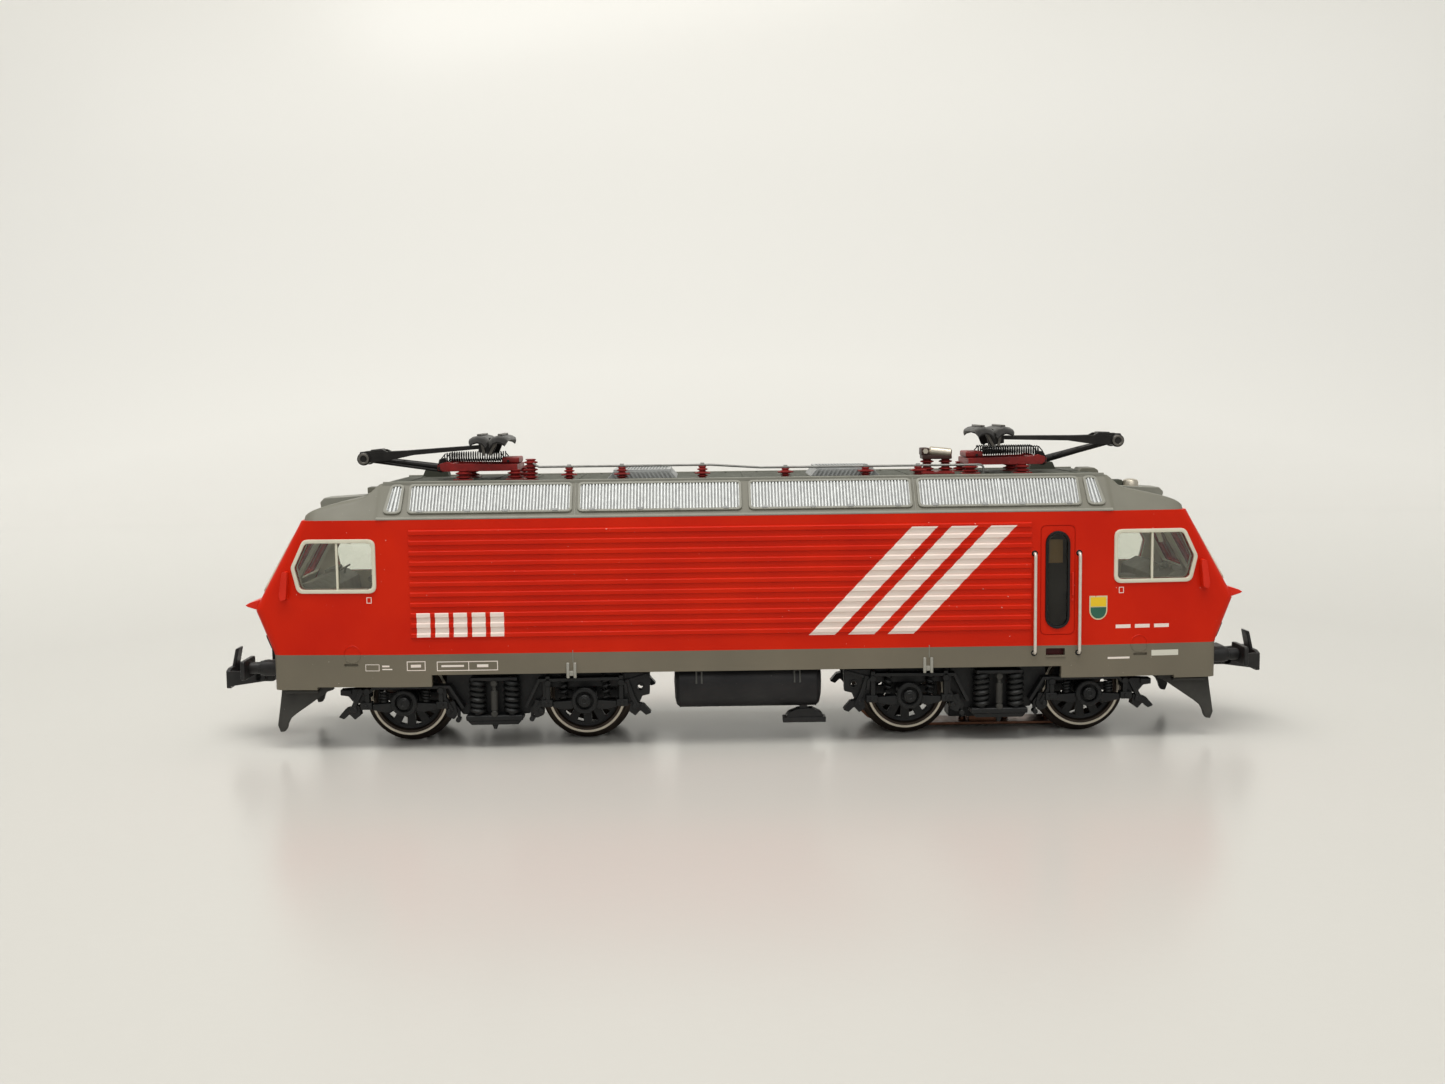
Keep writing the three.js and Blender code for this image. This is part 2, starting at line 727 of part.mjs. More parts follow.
const other = ([x, z]) => [-x, z];
const PHASE = { pinion: 0 };
PHASE.idlerRight = meshedPhase(PINION, IDLER, PHASE.pinion, GEAR.pinion, GEAR.idler);
PHASE.idlerLeft = meshedPhase(PINION, other(IDLER), PHASE.pinion, GEAR.pinion, GEAR.idler);
PHASE.wheelRight = meshedPhase(IDLER, AXLE, PHASE.idlerRight, GEAR.idler, GEAR.wheel);
PHASE.wheelLeft = meshedPhase(other(IDLER), other(AXLE), PHASE.idlerLeft, GEAR.idler, GEAR.wheel);

// A far-side wheel, turned about the axle line, with a groove where a traction tyre sits.
function wheel(grooved) {
  const { tread, flange, inner, outer, bore } = WHEEL;
  const plainRim = [[tread, inner + 0.8], [tread, outer]];
  const grooveRim = [
    [tread, inner + 0.8],
    [tread, inner + 1.2],
    [tread - 0.45, inner + 1.2],
    [tread - 0.45, outer],
  ];
  const profile = [
    [bore, inner],
    [flange, inner],
    [flange, inner + 0.3],
    ...(grooved ? grooveRim : plainRim),
    [tread - 1.0, outer],
    [tread - 1.3, outer - 0.9],
    [bore, outer - 0.9],
    [bore, inner],
  ];
  return turnedAcross(profile, WHEEL_SIDES);
}

// A plain ring about the axle line.
function ring(r0, r1, y0, y1) {
  const section = [
    [r0, y0],
    [r1, y0],
    [r1, y1],
    [r0, y1],
    [r0, y0],
  ];
  return turnedAcross(section, WHEEL_SIDES);
}

function tractionTyre() {
  const { tread, inner, outer } = WHEEL;
  const [y0, y1] = [inner + 1.25, outer - 0.1];
  return ring(tread - 0.38, tread, y0, y1);
}

function axle() {
  return rodAcross(WHEEL.axle, 0, 0, -10.9, 10.9, 12);
}

// The ring that joins a driven wheel to its gear.
function gearHub() {
  return ring(WHEEL.bore, 3.0, GEAR.y1 - 0.3, WHEEL.inner + 0.2);
}

// The pieces of one wheelset, at its axle line. gearPhase is left out on an axle that isn't driven.
function wheelset(number, gearPhase, tyreSide) {
  const far = wheel(tyreSide === "far");
  const driven = gearPhase !== undefined;
  const drive = () => gear(GEAR.wheel, gearPhase, GEAR.y0, GEAR.y1, WHEEL.bore);
  const farWheel = driven ? join(far, gearHub(), drive()) : far;
  const made = [
    piece(`axle_${number}`, axle(), MATERIAL.steel),
    piece(`wheel_${number}_far`, farWheel, MATERIAL.steel),
    piece(`wheel_${number}_near`, mirroredY(wheel(tyreSide === "near")), MATERIAL.steel),
  ];
  if (tyreSide) {
    const tyre = tyreSide === "far" ? tractionTyre() : mirroredY(tractionTyre());
    made.push(piece(`traction_tyre_${number}`, tyre, MATERIAL.rubber));
  }
  return made;
}

function idlerGear(phase) {
  return gear(GEAR.idler, phase, GEAR.y0, GEAR.y1, 0.8);
}

// ---------------------------------------------------------------- bogies, each at its own pivot

// The lower and upper edges of a bogie's side frame, from its middle to its end.
const SIDE_FRAME = [
  [0, 2.9],
  [5.2, 2.9],
  [6.4, 4.4],
  [8.2, 5.4],
  [12.6, 5.6],
  [19.6, 5.6],
  [20.8, 4.6],
  [23.2, 4.6],
  [23.2, 8.8],
  [22.4, 9.9],
  [7.8, 9.9],
  [7.2, 12.0],
  [0, 12.0],
];

// One side of a bogie's black frame: the plate, the axle boxes, the springs and the spring plank.
function bogieSide() {
  const half = SIDE_FRAME.filter(([x]) => x > 0);
  const plate = prismAcross([...half, ...half.map(([x, z]) => [-x, z]).reverse()], -13.4, -12.2);
  const boxes = [-1, 1].flatMap((end) => {
    const x = end * BOGIE.halfWheelbase;
    return [
      rodAcross(2.15, x, WHEEL.tread, -15.8, -13.2, 10),
      rodAcross(1.15, x, WHEEL.tread, -16.4, -15.6, 6),
      rodUp(0.8, x - 3.7, -14.0, 6.9, 9.9, 6),
      rodUp(0.8, x + 3.7, -14.0, 6.9, 9.9, 6),
    ];
  });
  const springs = [-2.9, 2.9].map((x) => rodUp(1.3, x, -14.2, 4.4, 11.4, 6));
  const damper = rodUp(0.6, 0, -14.9, 3.0, 11.2, 6);
  const plank = box(-5.2, 5.2, -15.4, -12.2, 2.7, 4.6);
  return join(plate, ...boxes, ...springs, damper, plank);
}

// A beam across the bogie between its wheels; slack widens it into the slot that a frame clears it with.
const crossBeam = (slack) =>
  box(CROSS_BEAM.x0 - slack, CROSS_BEAM.x1 + slack, -13, 13, CROSS_BEAM.z0 - slack, CROSS_BEAM.z1 + slack);

// Both sides, tied by the two cross beams.
function bogieSides() {
  const beam = crossBeam(0);
  return join(bothSides(bogieSide()), beam, turnedRound(beam));
}

const axleHoles = () => [-1, 1].map((end) => rodAcross(BOGIE.bearing, end * AXLE[0], AXLE[1], -8, 8, 10));

// The pin that turns in the chassis bridge, and the shoulder that the bridge rests on.
function pivotPin() {
  return join(rodUp(BRIDGE.pin, 0, 0, 30, BOGIE.pinTop, 12), rodUp(2.6, 0, 0, 29.5, BRIDGE.z0 - 0.2, 12));
}

// The cast block of the driven bogie: two bearing plates round the motor, and the pivot pin on top.
function motorBogieFrame() {
  const plate = (y0, y1) =>
    prismAcross(
      [
        [-18.6, 5.2],
        [18.6, 5.2],
        [18.6, 9.6],
        [11.0, 16.0],
        [9.6, 28.6],
        [-9.6, 28.6],
        [-11.0, 16.0],
        [-18.6, 9.6],
      ],
      y0,
      y1,
    );
  const ties = [
    box(-9.6, 9.6, -5.6, 5.6, 26.4, 30),
    box(-4.6, 4.6, -5.0, 5.0, 5.2, 7.4),
    box(-18.4, -17.6, -5.0, 5.0, 5.4, 9.2),
    box(17.6, 18.4, -5.0, 5.0, 5.4, 9.2),
  ];
  const shaftHole = rodAcross(MOTOR.shaftHole, ...PINION, -8, 8, 12);
  const slot = crossBeam(CROSS_BEAM.slack);
  const block = join(plate(4.6, 5.6), plate(-5.6, -4.6), ...ties, pivotPin());
  return cut(block, ...axleHoles(), shaftHole, slot, turnedRound(slot));
}

// Two pole shoes joined under and over the armature, open at the top.
function fieldMagnet() {
  const yoke = box(-8.8, 8.8, -4.4, 4.4, 9.9, 25.9);
  const bore = rodAcross(MOTOR.bore, ...PINION, -6, 6, 20);
  return cut(yoke, bore, box(-4, 4, -6, 6, 20, 30));
}

// Shaft, laminated three-pole drum, commutator and pinion, at the motor's own axis.
function armature() {
  const shaft = rodAcross(MOTOR.shaft, 0, 0, -8.4, 7.0, 10);
  const drum = rodAcross(MOTOR.drum, 0, 0, -3.9, 3.9, 18);
  const slots = [0, 1, 2].map((i) => {
    const a = (i * 2 * Math.PI) / 3;
    return box(-0.6, 0.6, -5, 5, 3.6, 8).rotateY(a);
  });
  const commutator = rodAcross(2.2, 0, 0, -4.4, -3.8, 12);
  const pinion = gear(GEAR.pinion, PHASE.pinion, GEAR.y0, GEAR.y1, 0);
  return join(cut(drum, ...slots), shaft, commutator, pinion);
}

function brushShield() {
  const disc = rodAcross(6.0, 0, GEAR.pinionZ, -6.6, -5.75, 16);
  const holders = [-4, 4].map((x) => rodAcross(1.2, x, GEAR.pinionZ, -9.2, -6.4, 8));
  const hole = rodAcross(MOTOR.shaftHole, 0, GEAR.pinionZ, -10, 10, 12);
  return cut(join(disc, ...holders), hole);
}

function trailingBogieFrame() {
  const spine = box(-20, 20, -5.6, 5.6, 9.0, 11.0);
  const legs = [-1, 1].flatMap((end) => {
    const x = end * BOGIE.halfWheelbase;
    return [box(x - 2.2, x + 2.2, 4.6, 5.6, 5.2, 9.2), box(x - 2.2, x + 2.2, -5.6, -4.6, 5.2, 9.2)];
  });
  const tower = box(-5, 5, -5, 5, 10.8, 30);
  const guides = box(-7.4, 7.4, -2.4, 2.4, 4.8, 9.2);
  const guideWell = box(-5.2, 5.2, -1.4, 1.4, 4, 8.9);
  const slot = crossBeam(CROSS_BEAM.slack);
  const frame = join(spine, ...legs, tower, cut(guides, guideWell), pivotPin());
  return cut(frame, ...axleHoles(), slot, turnedRound(slot));
}

// The slide that the contact shoe is screwed to; it rises in the guide of the trailing bogie.
function sliderCarrier() {
  const block = box(-4.9, 4.9, -1.1, 1.1, 2.6, 7.0);
  return join(block, box(-7, 7, -2.6, 2.6, 0.6, 2.8));
}

function sliderShoe() {
  const { bottom, halfLength, halfWidth } = SLIDER;
  const right = [
    [17.0, bottom],
    [halfLength - 1.4, bottom + 1.6],
    [halfLength, bottom + 3.2],
    [halfLength - 0.6, bottom + 3.4],
    [halfLength - 1.9, bottom + 2.1],
    [16.8, bottom + 0.6],
  ];
  const outline = [...right, ...right.map(([x, z]) => [-x, z]).reverse()];
  const foot = box(-3, 3, -2, 2, bottom + 0.4, 0.5);
  return join(prismAcross(outline, -halfWidth, halfWidth), foot);
}

// ---------------------------------------------------------------- couplers
// Built at their swing pivots, pointing to +X.

function couplerDrawbar() {
  const { pivotX, z, bailPivotX } = COUPLER;
  const eye = rodUp(2.2, 0, 0, z - 0.8, z + 0.8, 14);
  const bar = box(1.4, 14.2, -1.1, 1.1, z - 0.8, z + 0.8);
  const head = box(13.8, 17.4, -3.0, 3.0, z - 1.2, z + 1.4);
  const hook = prismAcross(
    [
      [17.0, z - 1.0],
      [19.8, z - 0.6],
      [20.0, z + 1.6],
      [19.0, z + 1.6],
      [18.6, z + 0.4],
      [17.0, z + 0.4],
    ],
    -1.0,
    1.0,
  );
  const axleX = bailPivotX - pivotX;
  const trunnions = rodAcross(0.5, axleX, z, -3.7, 3.7, 8);
  return cut(join(eye, bar, head, hook, trunnions), rodUp(1.15, 0, 0, 0, 20, 14));
}

// The bail at its own trunnions: two arms, a deep front plate and the upright in the middle.
function couplerBail() {
  const reach = COUPLER.bailFrontX - COUPLER.bailPivotX;
  const w = COUPLER.halfWidth;
  const arm = prismAcross(
    [
      [-1.0, -0.8],
      [reach - 0.5, -1.7],
      [reach - 0.5, 1.2],
      [1.2, 0.8],
      [-1.0, 0.8],
    ],
    w - 0.9,
    w,
  );
  const front = box(reach - 0.7, reach, -w, w, -1.7, 1.6);
  const upright = prismAcross(
    [
      [reach - 0.7, 1.4],
      [reach, 1.4],
      [reach - 0.9, 5.4],
      [reach - 1.6, 5.4],
    ],
    -1.9,
    1.9,
  );
  const bosses = bothSides(box(-1.0, 1.0, 3.25, w - 0.5, -0.8, 0.8));
  return cut(join(bothSides(arm), front, upright, bosses), rodAcross(0.62, 0, 0, -6, 6, 8));
}

// ---------------------------------------------------------------- pantographs
// Built at their base hinges, with the knee towards +X.

// Rest angles above horizontal: the lower arm's towards the knee, and the upper arm's back from the knee.
const PANTO_REST = {
  left: { lower: 7.6, upper: 5.0 },
  right: { lower: 14.4, upper: 2.0 },
};

// The red frame on its four insulators, with the two ears that hold the lower arm's hinge pin.
function pantographBase() {
  const { frameZ, frameTop, beamY, hingeZ } = PANTO;
  const [z0, z1] = [frameZ - hingeZ, frameTop - hingeZ];
  const [x0, x1] = [-14.5, 0.7];
  const beams = bothSides(box(x0, x1, beamY - 0.6, beamY + 0.6, z0, z1));
  const crosses = [
    box(x0, x0 + 1.3, -beamY, beamY, z0, z1),
    box(-6.2, -5.0, -beamY, beamY, z0, z0 + 0.6),
    box(-2.4, -1.5, -beamY, beamY, z0, z1),
  ];
  const ears = bothSides(box(-1.6, 0.8, 1.9, 2.9, z0, z1));
  const foot = (x) => turnedUp(insulatorProfile(ROOF.top + 0.05 - hingeZ, z0 + 0.2, 1.45), x, beamY, 8);
  const feet = [-14.1, -4.6].map((x) => bothSides(foot(x)));
  return cut(join(beams, ...crosses, ears, ...feet), rodAcross(0.5, 0, 0, -4, 4, 8));
}

function lowerArm(rest) {
  const length = PANTO.lowerArm;
  const tube = rodAlong(0.62, 0, 0, 0.6, length - 0.5, 10);
  const rod = rodAlong(0.25, 1.2, 0, 0, length, 6);
  const lowerEye = rodAcross(0.8, 0, 0, -1.7, 1.7, 10);
  const basePin = rodAcross(0.38, 0, 0, -3.2, 3.2, 8);
  const upperEye = rodAcross(1.0, length, 0, -1.5, 1.5, 12);
  const bore = rodAcross(0.55, length, 0, -4, 4, 8);
  const arm = cut(join(tube, rod, lowerEye, basePin, upperEye), bore);
  return arm.rotateY(-THREE.MathUtils.degToRad(rest.lower));
}

// From the knee back to the head: an A-frame of two tubes with the knee pin through its narrow end.
function upperArm(rest) {
  const a = THREE.MathUtils.degToRad(rest.upper);
  const length = PANTO.upperArm;
  const cheek = rodAcross(1.2, 0, 0, 1.75, 2.6, 12);
  const tube = prismAcross(
    [
      [0.4, -0.55],
      [0.4, 0.75],
      [-6, 0.5],
      [-length, 0.35],
      [-length, -0.35],
      [-6, -0.5],
    ],
    1.8,
    2.5,
  );
  const pin = rodAcross(0.4, 0, 0, -2.6, 2.6, 8);
  const headPin = rodAcross(0.35, -length, 0, -3.9, 3.9, 8);
  const tie = (x) => box(x, x + 0.8, -2.2, 2.2, -0.3, 0.3);
  const ties = [tie(-7.4), tie(-length + 0.3)];
  return join(bothSides(join(cheek, tube)), pin, headPin, ...ties).rotateY(a);
}

// The collector head: two bowed strips on side brackets that hang on the upper arm's pin.
function collectorHead() {
  const bow = [
    [-7.9, -0.6],
    [-6.9, 0.8],
    [-5.2, 1.9],
    [-3.4, 2.3],
    [3.4, 2.3],
    [5.2, 1.9],
    [6.9, 0.8],
    [7.9, -0.6],
    [7.4, -0.8],
    [6.5, 0.4],
    [4.9, 1.4],
    [3.3, 1.8],
    [-3.3, 1.8],
    [-4.9, 1.4],
    [-6.5, 0.4],
    [-7.4, -0.8],
  ];
  const strips = [-2.4, 1.4].map((x) => prismAlong(bow, x, x + 1.0));
  const bracket = prismAcross(
    [
      [-0.9, -0.8],
      [0.9, -0.8],
      [2.3, 2.0],
      [1.5, 2.0],
      [0, 0.9],
      [-1.5, 2.0],
      [-2.3, 2.0],
    ],
    3.0,
    3.5,
  );
  const hole = rodAcross(0.5, 0, 0, -6, 6, 8);
  return cut(join(...strips, bothSides(bracket)), hole);
}

// Two coil springs along the base frame, hooked to one cross bar at each end.
function pantographSprings() {
  const [r, turns, x0, x1, y, z] = [0.8, 8, -11.6, -0.6, 3.3, 2.0];
  const profile = [[0, x0]];
  const pitch = (x1 - x0) / turns;
  for (let i = 0; i < turns; i++) profile.push([r, x0 + i * pitch], [r * 0.72, x0 + (i + 0.5) * pitch]);
  profile.push([r, x1], [0, x1]);
  const coil = turnedAcross(profile, 6).rotateZ(-Math.PI / 2).translate(0, y, z);
  return join(bothSides(coil), box(x0 + 0.2, x0 + 0.7, -y, y, z - 0.3, z + 0.3));
}

// One pantograph as pieces, with its hinge at the origin.
function pantographPieces(side) {
  const rest = PANTO_REST[side];
  const a = THREE.MathUtils.degToRad(rest.lower);
  const b = THREE.MathUtils.degToRad(rest.upper);
  const knee = [PANTO.lowerArm * Math.cos(a), PANTO.lowerArm * Math.sin(a)];
  const head = [knee[0] - PANTO.upperArm * Math.cos(b), knee[1] + PANTO.upperArm * Math.sin(b)];
  const named = (name, geometry, finish) => piece(`pantograph_${side}_${name}`, geometry, finish);
  return [
    named("base", pantographBase(), MATERIAL.insulator),
    named("springs", pantographSprings(), MATERIAL.steel),
    named("lower_arm", lowerArm(rest), MATERIAL.blackened),
    placed(knee[0], 0, knee[1], named("upper_arm", upperArm(rest), MATERIAL.blackened)),
    placed(head[0], 0, head[1], named("head", collectorHead(), MATERIAL.blackened)),
  ];
}

// ---------------------------------------------------------------- assembly

// The same end fitting at both ends, the left one turned round.
function atBothEnds(name, geometry, finish) {
  return [piece(`${name}_right`, geometry, finish), piece(`${name}_left`, turnedRound(geometry), finish)];
}

function bodyGroup() {
  const group = new THREE.Group();
  group.add(
    piece("chassis_frame", chassisFrame(), MATERIAL.castMetal),
    piece("body_shell", bodyShell(), MATERIAL.redPaint),
    piece("roof_shell", roofShell(), MATERIAL.roofPaint),
    ...atBothEnds("cab_glazing", cabGlazing(), MATERIAL.clear),
    ...atBothEnds("cab_interior", cabInterior(), MATERIAL.cab),
    ...atBothEnds("light_guide", lightGuide(), MATERIAL.clear),
    ...atBothEnds("end_skirt", endSkirt(), MATERIAL.blackPlastic),
    piece("door_window_near", doorWindow(), MATERIAL.clear),
    piece("door_window_far", turnedRound(doorWindow()), MATERIAL.clear),
    piece("door_handrails_near", doorHandrails(), MATERIAL.steel),
    piece("door_handrails_far", turnedRound(doorHandrails()), MATERIAL.steel),
    piece("circuit_board", circuitBoard(), MATERIAL.board),
    piece("underfloor_tank", underfloorTank(), MATERIAL.blackPlastic),
    piece("body_screw", bodyScrew(), MATERIAL.steel),
    piece("roof_insulators", roofInsulators(), MATERIAL.insulator),
    piece("roof_conductor", roofConductor(), MATERIAL.steel),
    piece("main_breaker", mainBreaker(), MATERIAL.insulator),
  );
  return group;
}

function motorBogie() {
  return placed(
    -BOGIE.pivotX,
    0,
    0,
    piece("motor_bogie_frame", motorBogieFrame(), MATERIAL.castMetal),
    piece("motor_bogie_sides", bogieSides(), MATERIAL.blackPlastic),
    piece("motor_field_magnet", fieldMagnet(), MATERIAL.blackened),
    piece("motor_brush_shield", brushShield(), MATERIAL.nylon),
    placed(PINION[0], 0, PINION[1], piece("motor_armature", armature(), MATERIAL.copper)),
    placed(-IDLER[0], 0, IDLER[1], piece("idler_gear_1", idlerGear(PHASE.idlerLeft), MATERIAL.nylon)),
    placed(IDLER[0], 0, IDLER[1], piece("idler_gear_2", idlerGear(PHASE.idlerRight), MATERIAL.nylon)),
    placed(-AXLE[0], 0, AXLE[1], ...wheelset(1, PHASE.wheelLeft, "far")),
    placed(AXLE[0], 0, AXLE[1], ...wheelset(2, PHASE.wheelRight, "near")),
  );
}

function trailingBogie() {
  return placed(
    BOGIE.pivotX,
    0,
    0,
    piece("trailing_bogie_frame", trailingBogieFrame(), MATERIAL.castMetal),
    piece("trailing_bogie_sides", bogieSides(), MATERIAL.blackPlastic),
    piece("slider_carrier", sliderCarrier(), MATERIAL.blackPlastic),
    piece("slider_shoe", sliderShoe(), MATERIAL.copper),
    placed(-AXLE[0], 0, AXLE[1], ...wheelset(3)),
    placed(AXLE[0], 0, AXLE[1], ...wheelset(4)),
  );
}

function couplers() {
  const { pivotX, bailPivotX, z } = COUPLER;
  const made = (side, turn) => {
    const drawbar = piece(`coupler_${side}_drawbar`, couplerDrawbar(), MATERIAL.blackPlastic);
    const bail = piece(`coupler_${side}_bail`, couplerBail(), MATERIAL.blackPlastic);
    const bailPlaced = placed(bailPivotX - pivotX, 0, z, bail);
    const group = placed(turn ? -pivotX : pivotX, 0, COUPLER_PLAY[side], drawbar, bailPlaced);
    group.rotation.z = turn ? Math.PI : 0;
    return group;
  };
  return [made("left", true), made("right", false)];
}

function pantographs() {
  const { hingeX, hingeZ } = PANTO;
  const made = (side, turn) => {
    const group = placed(turn ? -hingeX : hingeX, 0, hingeZ, ...pantographPieces(side));
    group.rotation.z = turn ? Math.PI : 0;
    return group;
  };
  return [made("left", true), made("right", false)];
}

const onRails = placed(0, 0, WHEEL.flange - WHEEL.tread, bodyGroup(), motorBogie(), trailingBogie());
onRails.add(...couplers(), ...pantographs());

const locomotive = new THREE.Group();
locomotive.add(onRails);

export default locomotive;
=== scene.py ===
"""The looks of an H0 (1:87) model electric locomotive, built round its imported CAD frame.

The helpers work in millimetres, with heights measured from the rail head; piece() turns them into
metres in the CAD frame. "left" is the -X end, "near" the -Y side. The far side is the near side
turned round, as on the real locomotive.
"""

import json
import math

import bmesh
import bpy
from mathutils import Matrix, Vector


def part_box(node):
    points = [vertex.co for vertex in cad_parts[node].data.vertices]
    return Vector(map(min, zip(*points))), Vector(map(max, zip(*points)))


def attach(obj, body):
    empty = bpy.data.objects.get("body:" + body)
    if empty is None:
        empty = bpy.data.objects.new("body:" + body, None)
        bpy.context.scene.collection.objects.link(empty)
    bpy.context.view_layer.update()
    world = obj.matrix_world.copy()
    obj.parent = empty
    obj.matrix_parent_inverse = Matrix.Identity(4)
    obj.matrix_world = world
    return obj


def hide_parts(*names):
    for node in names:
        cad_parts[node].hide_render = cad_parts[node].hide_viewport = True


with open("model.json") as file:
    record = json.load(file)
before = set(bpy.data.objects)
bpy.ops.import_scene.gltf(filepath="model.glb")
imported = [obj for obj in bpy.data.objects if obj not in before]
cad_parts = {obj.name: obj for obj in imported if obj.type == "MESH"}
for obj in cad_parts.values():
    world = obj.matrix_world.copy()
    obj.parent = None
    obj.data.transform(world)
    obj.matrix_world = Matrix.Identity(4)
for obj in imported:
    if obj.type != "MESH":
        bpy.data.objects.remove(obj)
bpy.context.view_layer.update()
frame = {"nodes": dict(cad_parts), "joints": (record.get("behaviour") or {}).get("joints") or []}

MM = 0.001
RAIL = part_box("traction_tyre_1")[0].z / MM  # height of the rail head in the CAD frame
JOINT = {
    j["name"]: Vector(j["pos_m"]) / MM - Vector((0, 0, RAIL))
    for j in frame["joints"]
    if "pos_m" in j
}
BOGIE_X = JOINT["trailing_bogie_swivel"].x
AXLE_X = JOINT["wheelset_4_spin"].x - BOGIE_X
AXLE_Z = JOINT["wheelset_4_spin"].z

HALF_WIDTH, HALF_NOSE, TAPER_X = 17.0, 15.2, 62.0
SKIRT, END_SKIRT, NOSE_SKIRT = 12.5, 10.4, 9.9
PAINT_LINE, BODY_TOP = 16.2, 40.1
END_X, KNEE_X, KNEE_Z, TOP_X = 84.3, 87.5, 24.3, 78.6
ROOF_TOP, ROOF_HALF_TOP, ROOF_HALF_BASE = 46.3, 12.2, 16.8


# ------------------------------------------------------------------ outlines


def fillet(points, radius, steps=4, closed=True):
    """Rounds the corners of a bent line in two or three dimensions. radius may be one per corner."""
    points = [Vector(p) for p in points]
    n = len(points)
    radii = radius if isinstance(radius, (list, tuple)) else [radius] * n
    made = []
    for i, corner in enumerate(points):
        if radii[i] <= 0 or (not closed and i in (0, n - 1)):
            made.append(corner)
            continue
        before, after = points[i - 1] - corner, points[(i + 1) % n] - corner
        half = before.angle(after) / 2
        reach = min(radii[i] / math.tan(half), 0.49 * before.length, 0.49 * after.length)
        a, b = corner + before.normalized() * reach, corner + after.normalized() * reach
        for k in range(steps + 1):
            t = k / steps
            made.append(a * (1 - t) ** 2 + corner * (2 * t * (1 - t)) + b * t * t)
    return made


def rectangle(u0, u1, v0, v1, radius=0.0, steps=4):
    corners = [(u0, v0), (u1, v0), (u1, v1), (u0, v1)]
    return fillet(corners, radius, steps) if radius else [Vector(p) for p in corners]


def slot_outline(u0, u1, v0, v1, steps=10):
    r = (u1 - u0) / 2
    arcs = ((v1 - r, 0.0), (v0 + r, math.pi))
    return [
        Vector((u0 + r + r * math.cos(a), centre + r * math.sin(a)))
        for centre, first in arcs
        for a in (first + math.pi * k / steps for k in range(steps + 1))
    ]


def band(points, half):
    """The outline of a flat strip along a bent line, mitred at its bends."""
    points = [Vector(p) for p in points]
    sides = ([], [])
    for i, p in enumerate(points):
        before = (p - points[i - 1]).normalized() if i else (points[1] - p).normalized()
        after = (points[i + 1] - p).normalized() if i + 1 < len(points) else before
        normal = Vector((-(before.y + after.y), before.x + after.x))
        offset = normal * (half / (1 + before.dot(after)))
        sides[0].append(p + offset)
        sides[1].append(p - offset)
    return sides[0] + sides[1][::-1]


# ------------------------------------------------------------------ solids


def across(u, v, w):
    return (u, w, v)


def along(u, v, w):
    return (w, u, v)


def upright(u, v, w):
    return (u, v, w)


def half_width(x):
    slope = (HALF_WIDTH - HALF_NOSE) / (KNEE_X - TAPER_X)
    return HALF_WIDTH - max(0.0, abs(x) - TAPER_X) * slope


def end_x(z):
    if z <= PAINT_LINE:
        return END_X
    if z <= KNEE_Z:
        return END_X + (z - PAINT_LINE) * (KNEE_X - END_X) / (KNEE_Z - PAINT_LINE)
    return KNEE_X - (z - KNEE_Z) * (KNEE_X - TOP_X) / (BODY_TOP - KNEE_Z)


def on_side(x, z, out):
    """A point on the near body side, out millimetres proud of it."""
    return (x, -half_width(x) - out, z)


def on_nose(y, z, out):
    return (end_x(z) + out, y, z)


def on_roof_slope(x, out, up):
    """A point on the near slope of the roof, up millimetres from its foot."""
    run, rise = ROOF_HALF_BASE - ROOF_HALF_TOP, ROOF_TOP - BODY_TOP
    length = math.hypot(run, rise)
    c, s = run / length, rise / length
    return (x, -ROOF_HALF_BASE + c * up - s * out, BODY_TOP + s * up + c * out)


def flat_on_roof_slope(along_roof, up_slope, out):
    """The same placement for an outline drawn on the slope and raised outward."""
    return on_roof_slope(along_roof, out, up_slope)


ROOF_SLOPE = math.hypot(ROOF_HALF_BASE - ROOF_HALF_TOP, ROOF_TOP - BODY_TOP)


def soften(bm, width, steps=2, angle=30):
    """Rounds every edge sharper than angle."""
    sharp = [e for e in bm.edges if len(e.link_faces) == 2 and e.calc_face_angle(0) > math.radians(angle)]
    bmesh.ops.bevel(
        bm, geom=sharp, offset=width, segments=steps, profile=0.5, affect="EDGES", clamp_overlap=True
    )
    return bm


def loft(sections, closed=False):
    """Joins equal loops of points into one skin, capped at both ends unless it closes on itself."""
    bm = bmesh.new()
    rings = [[bm.verts.new(p) for p in section] for section in sections]
    n = len(rings[0])
    pairs = list(zip(rings, rings[1:])) + ([(rings[-1], rings[0])] if closed else [])
    for low, high in pairs:
        for i in range(n):
            j = (i + 1) % n
            bm.faces.new((low[i], low[j], high[j], high[i]))
    if not closed:
        bm.faces.new(rings[0][::-1])
        bm.faces.new(rings[-1])
    bmesh.ops.recalc_face_normals(bm, faces=bm.faces)
    return bm


def prism(points, a, b, place=across, soft=0.0, steps=2):
    """An outline swept from a to b; place turns (u, v, w) into x, y, z."""
    bm = loft([[place(p[0], p[1], w) for p in points] for w in (a, b)])
    return soften(bm, soft, steps) if soft else bm


def box(x0, x1, y0, y1, z0, z1, soft=0.0, steps=2):
    return prism([(x0, z0), (x1, z0), (x1, z1), (x0, z1)], y0, y1, across, soft, steps)


def ring(outer, inner, a, b, place=across, soft=0.0):
    """The flat frame between two outlines of equal length."""
    loops = [(outer, a), (outer, b), (inner, b), (inner, a)]
    bm = loft([[place(p[0], p[1], w) for p in line] for line, w in loops], closed=True)
    return soften(bm, soft, 2, 50) if soft else bm


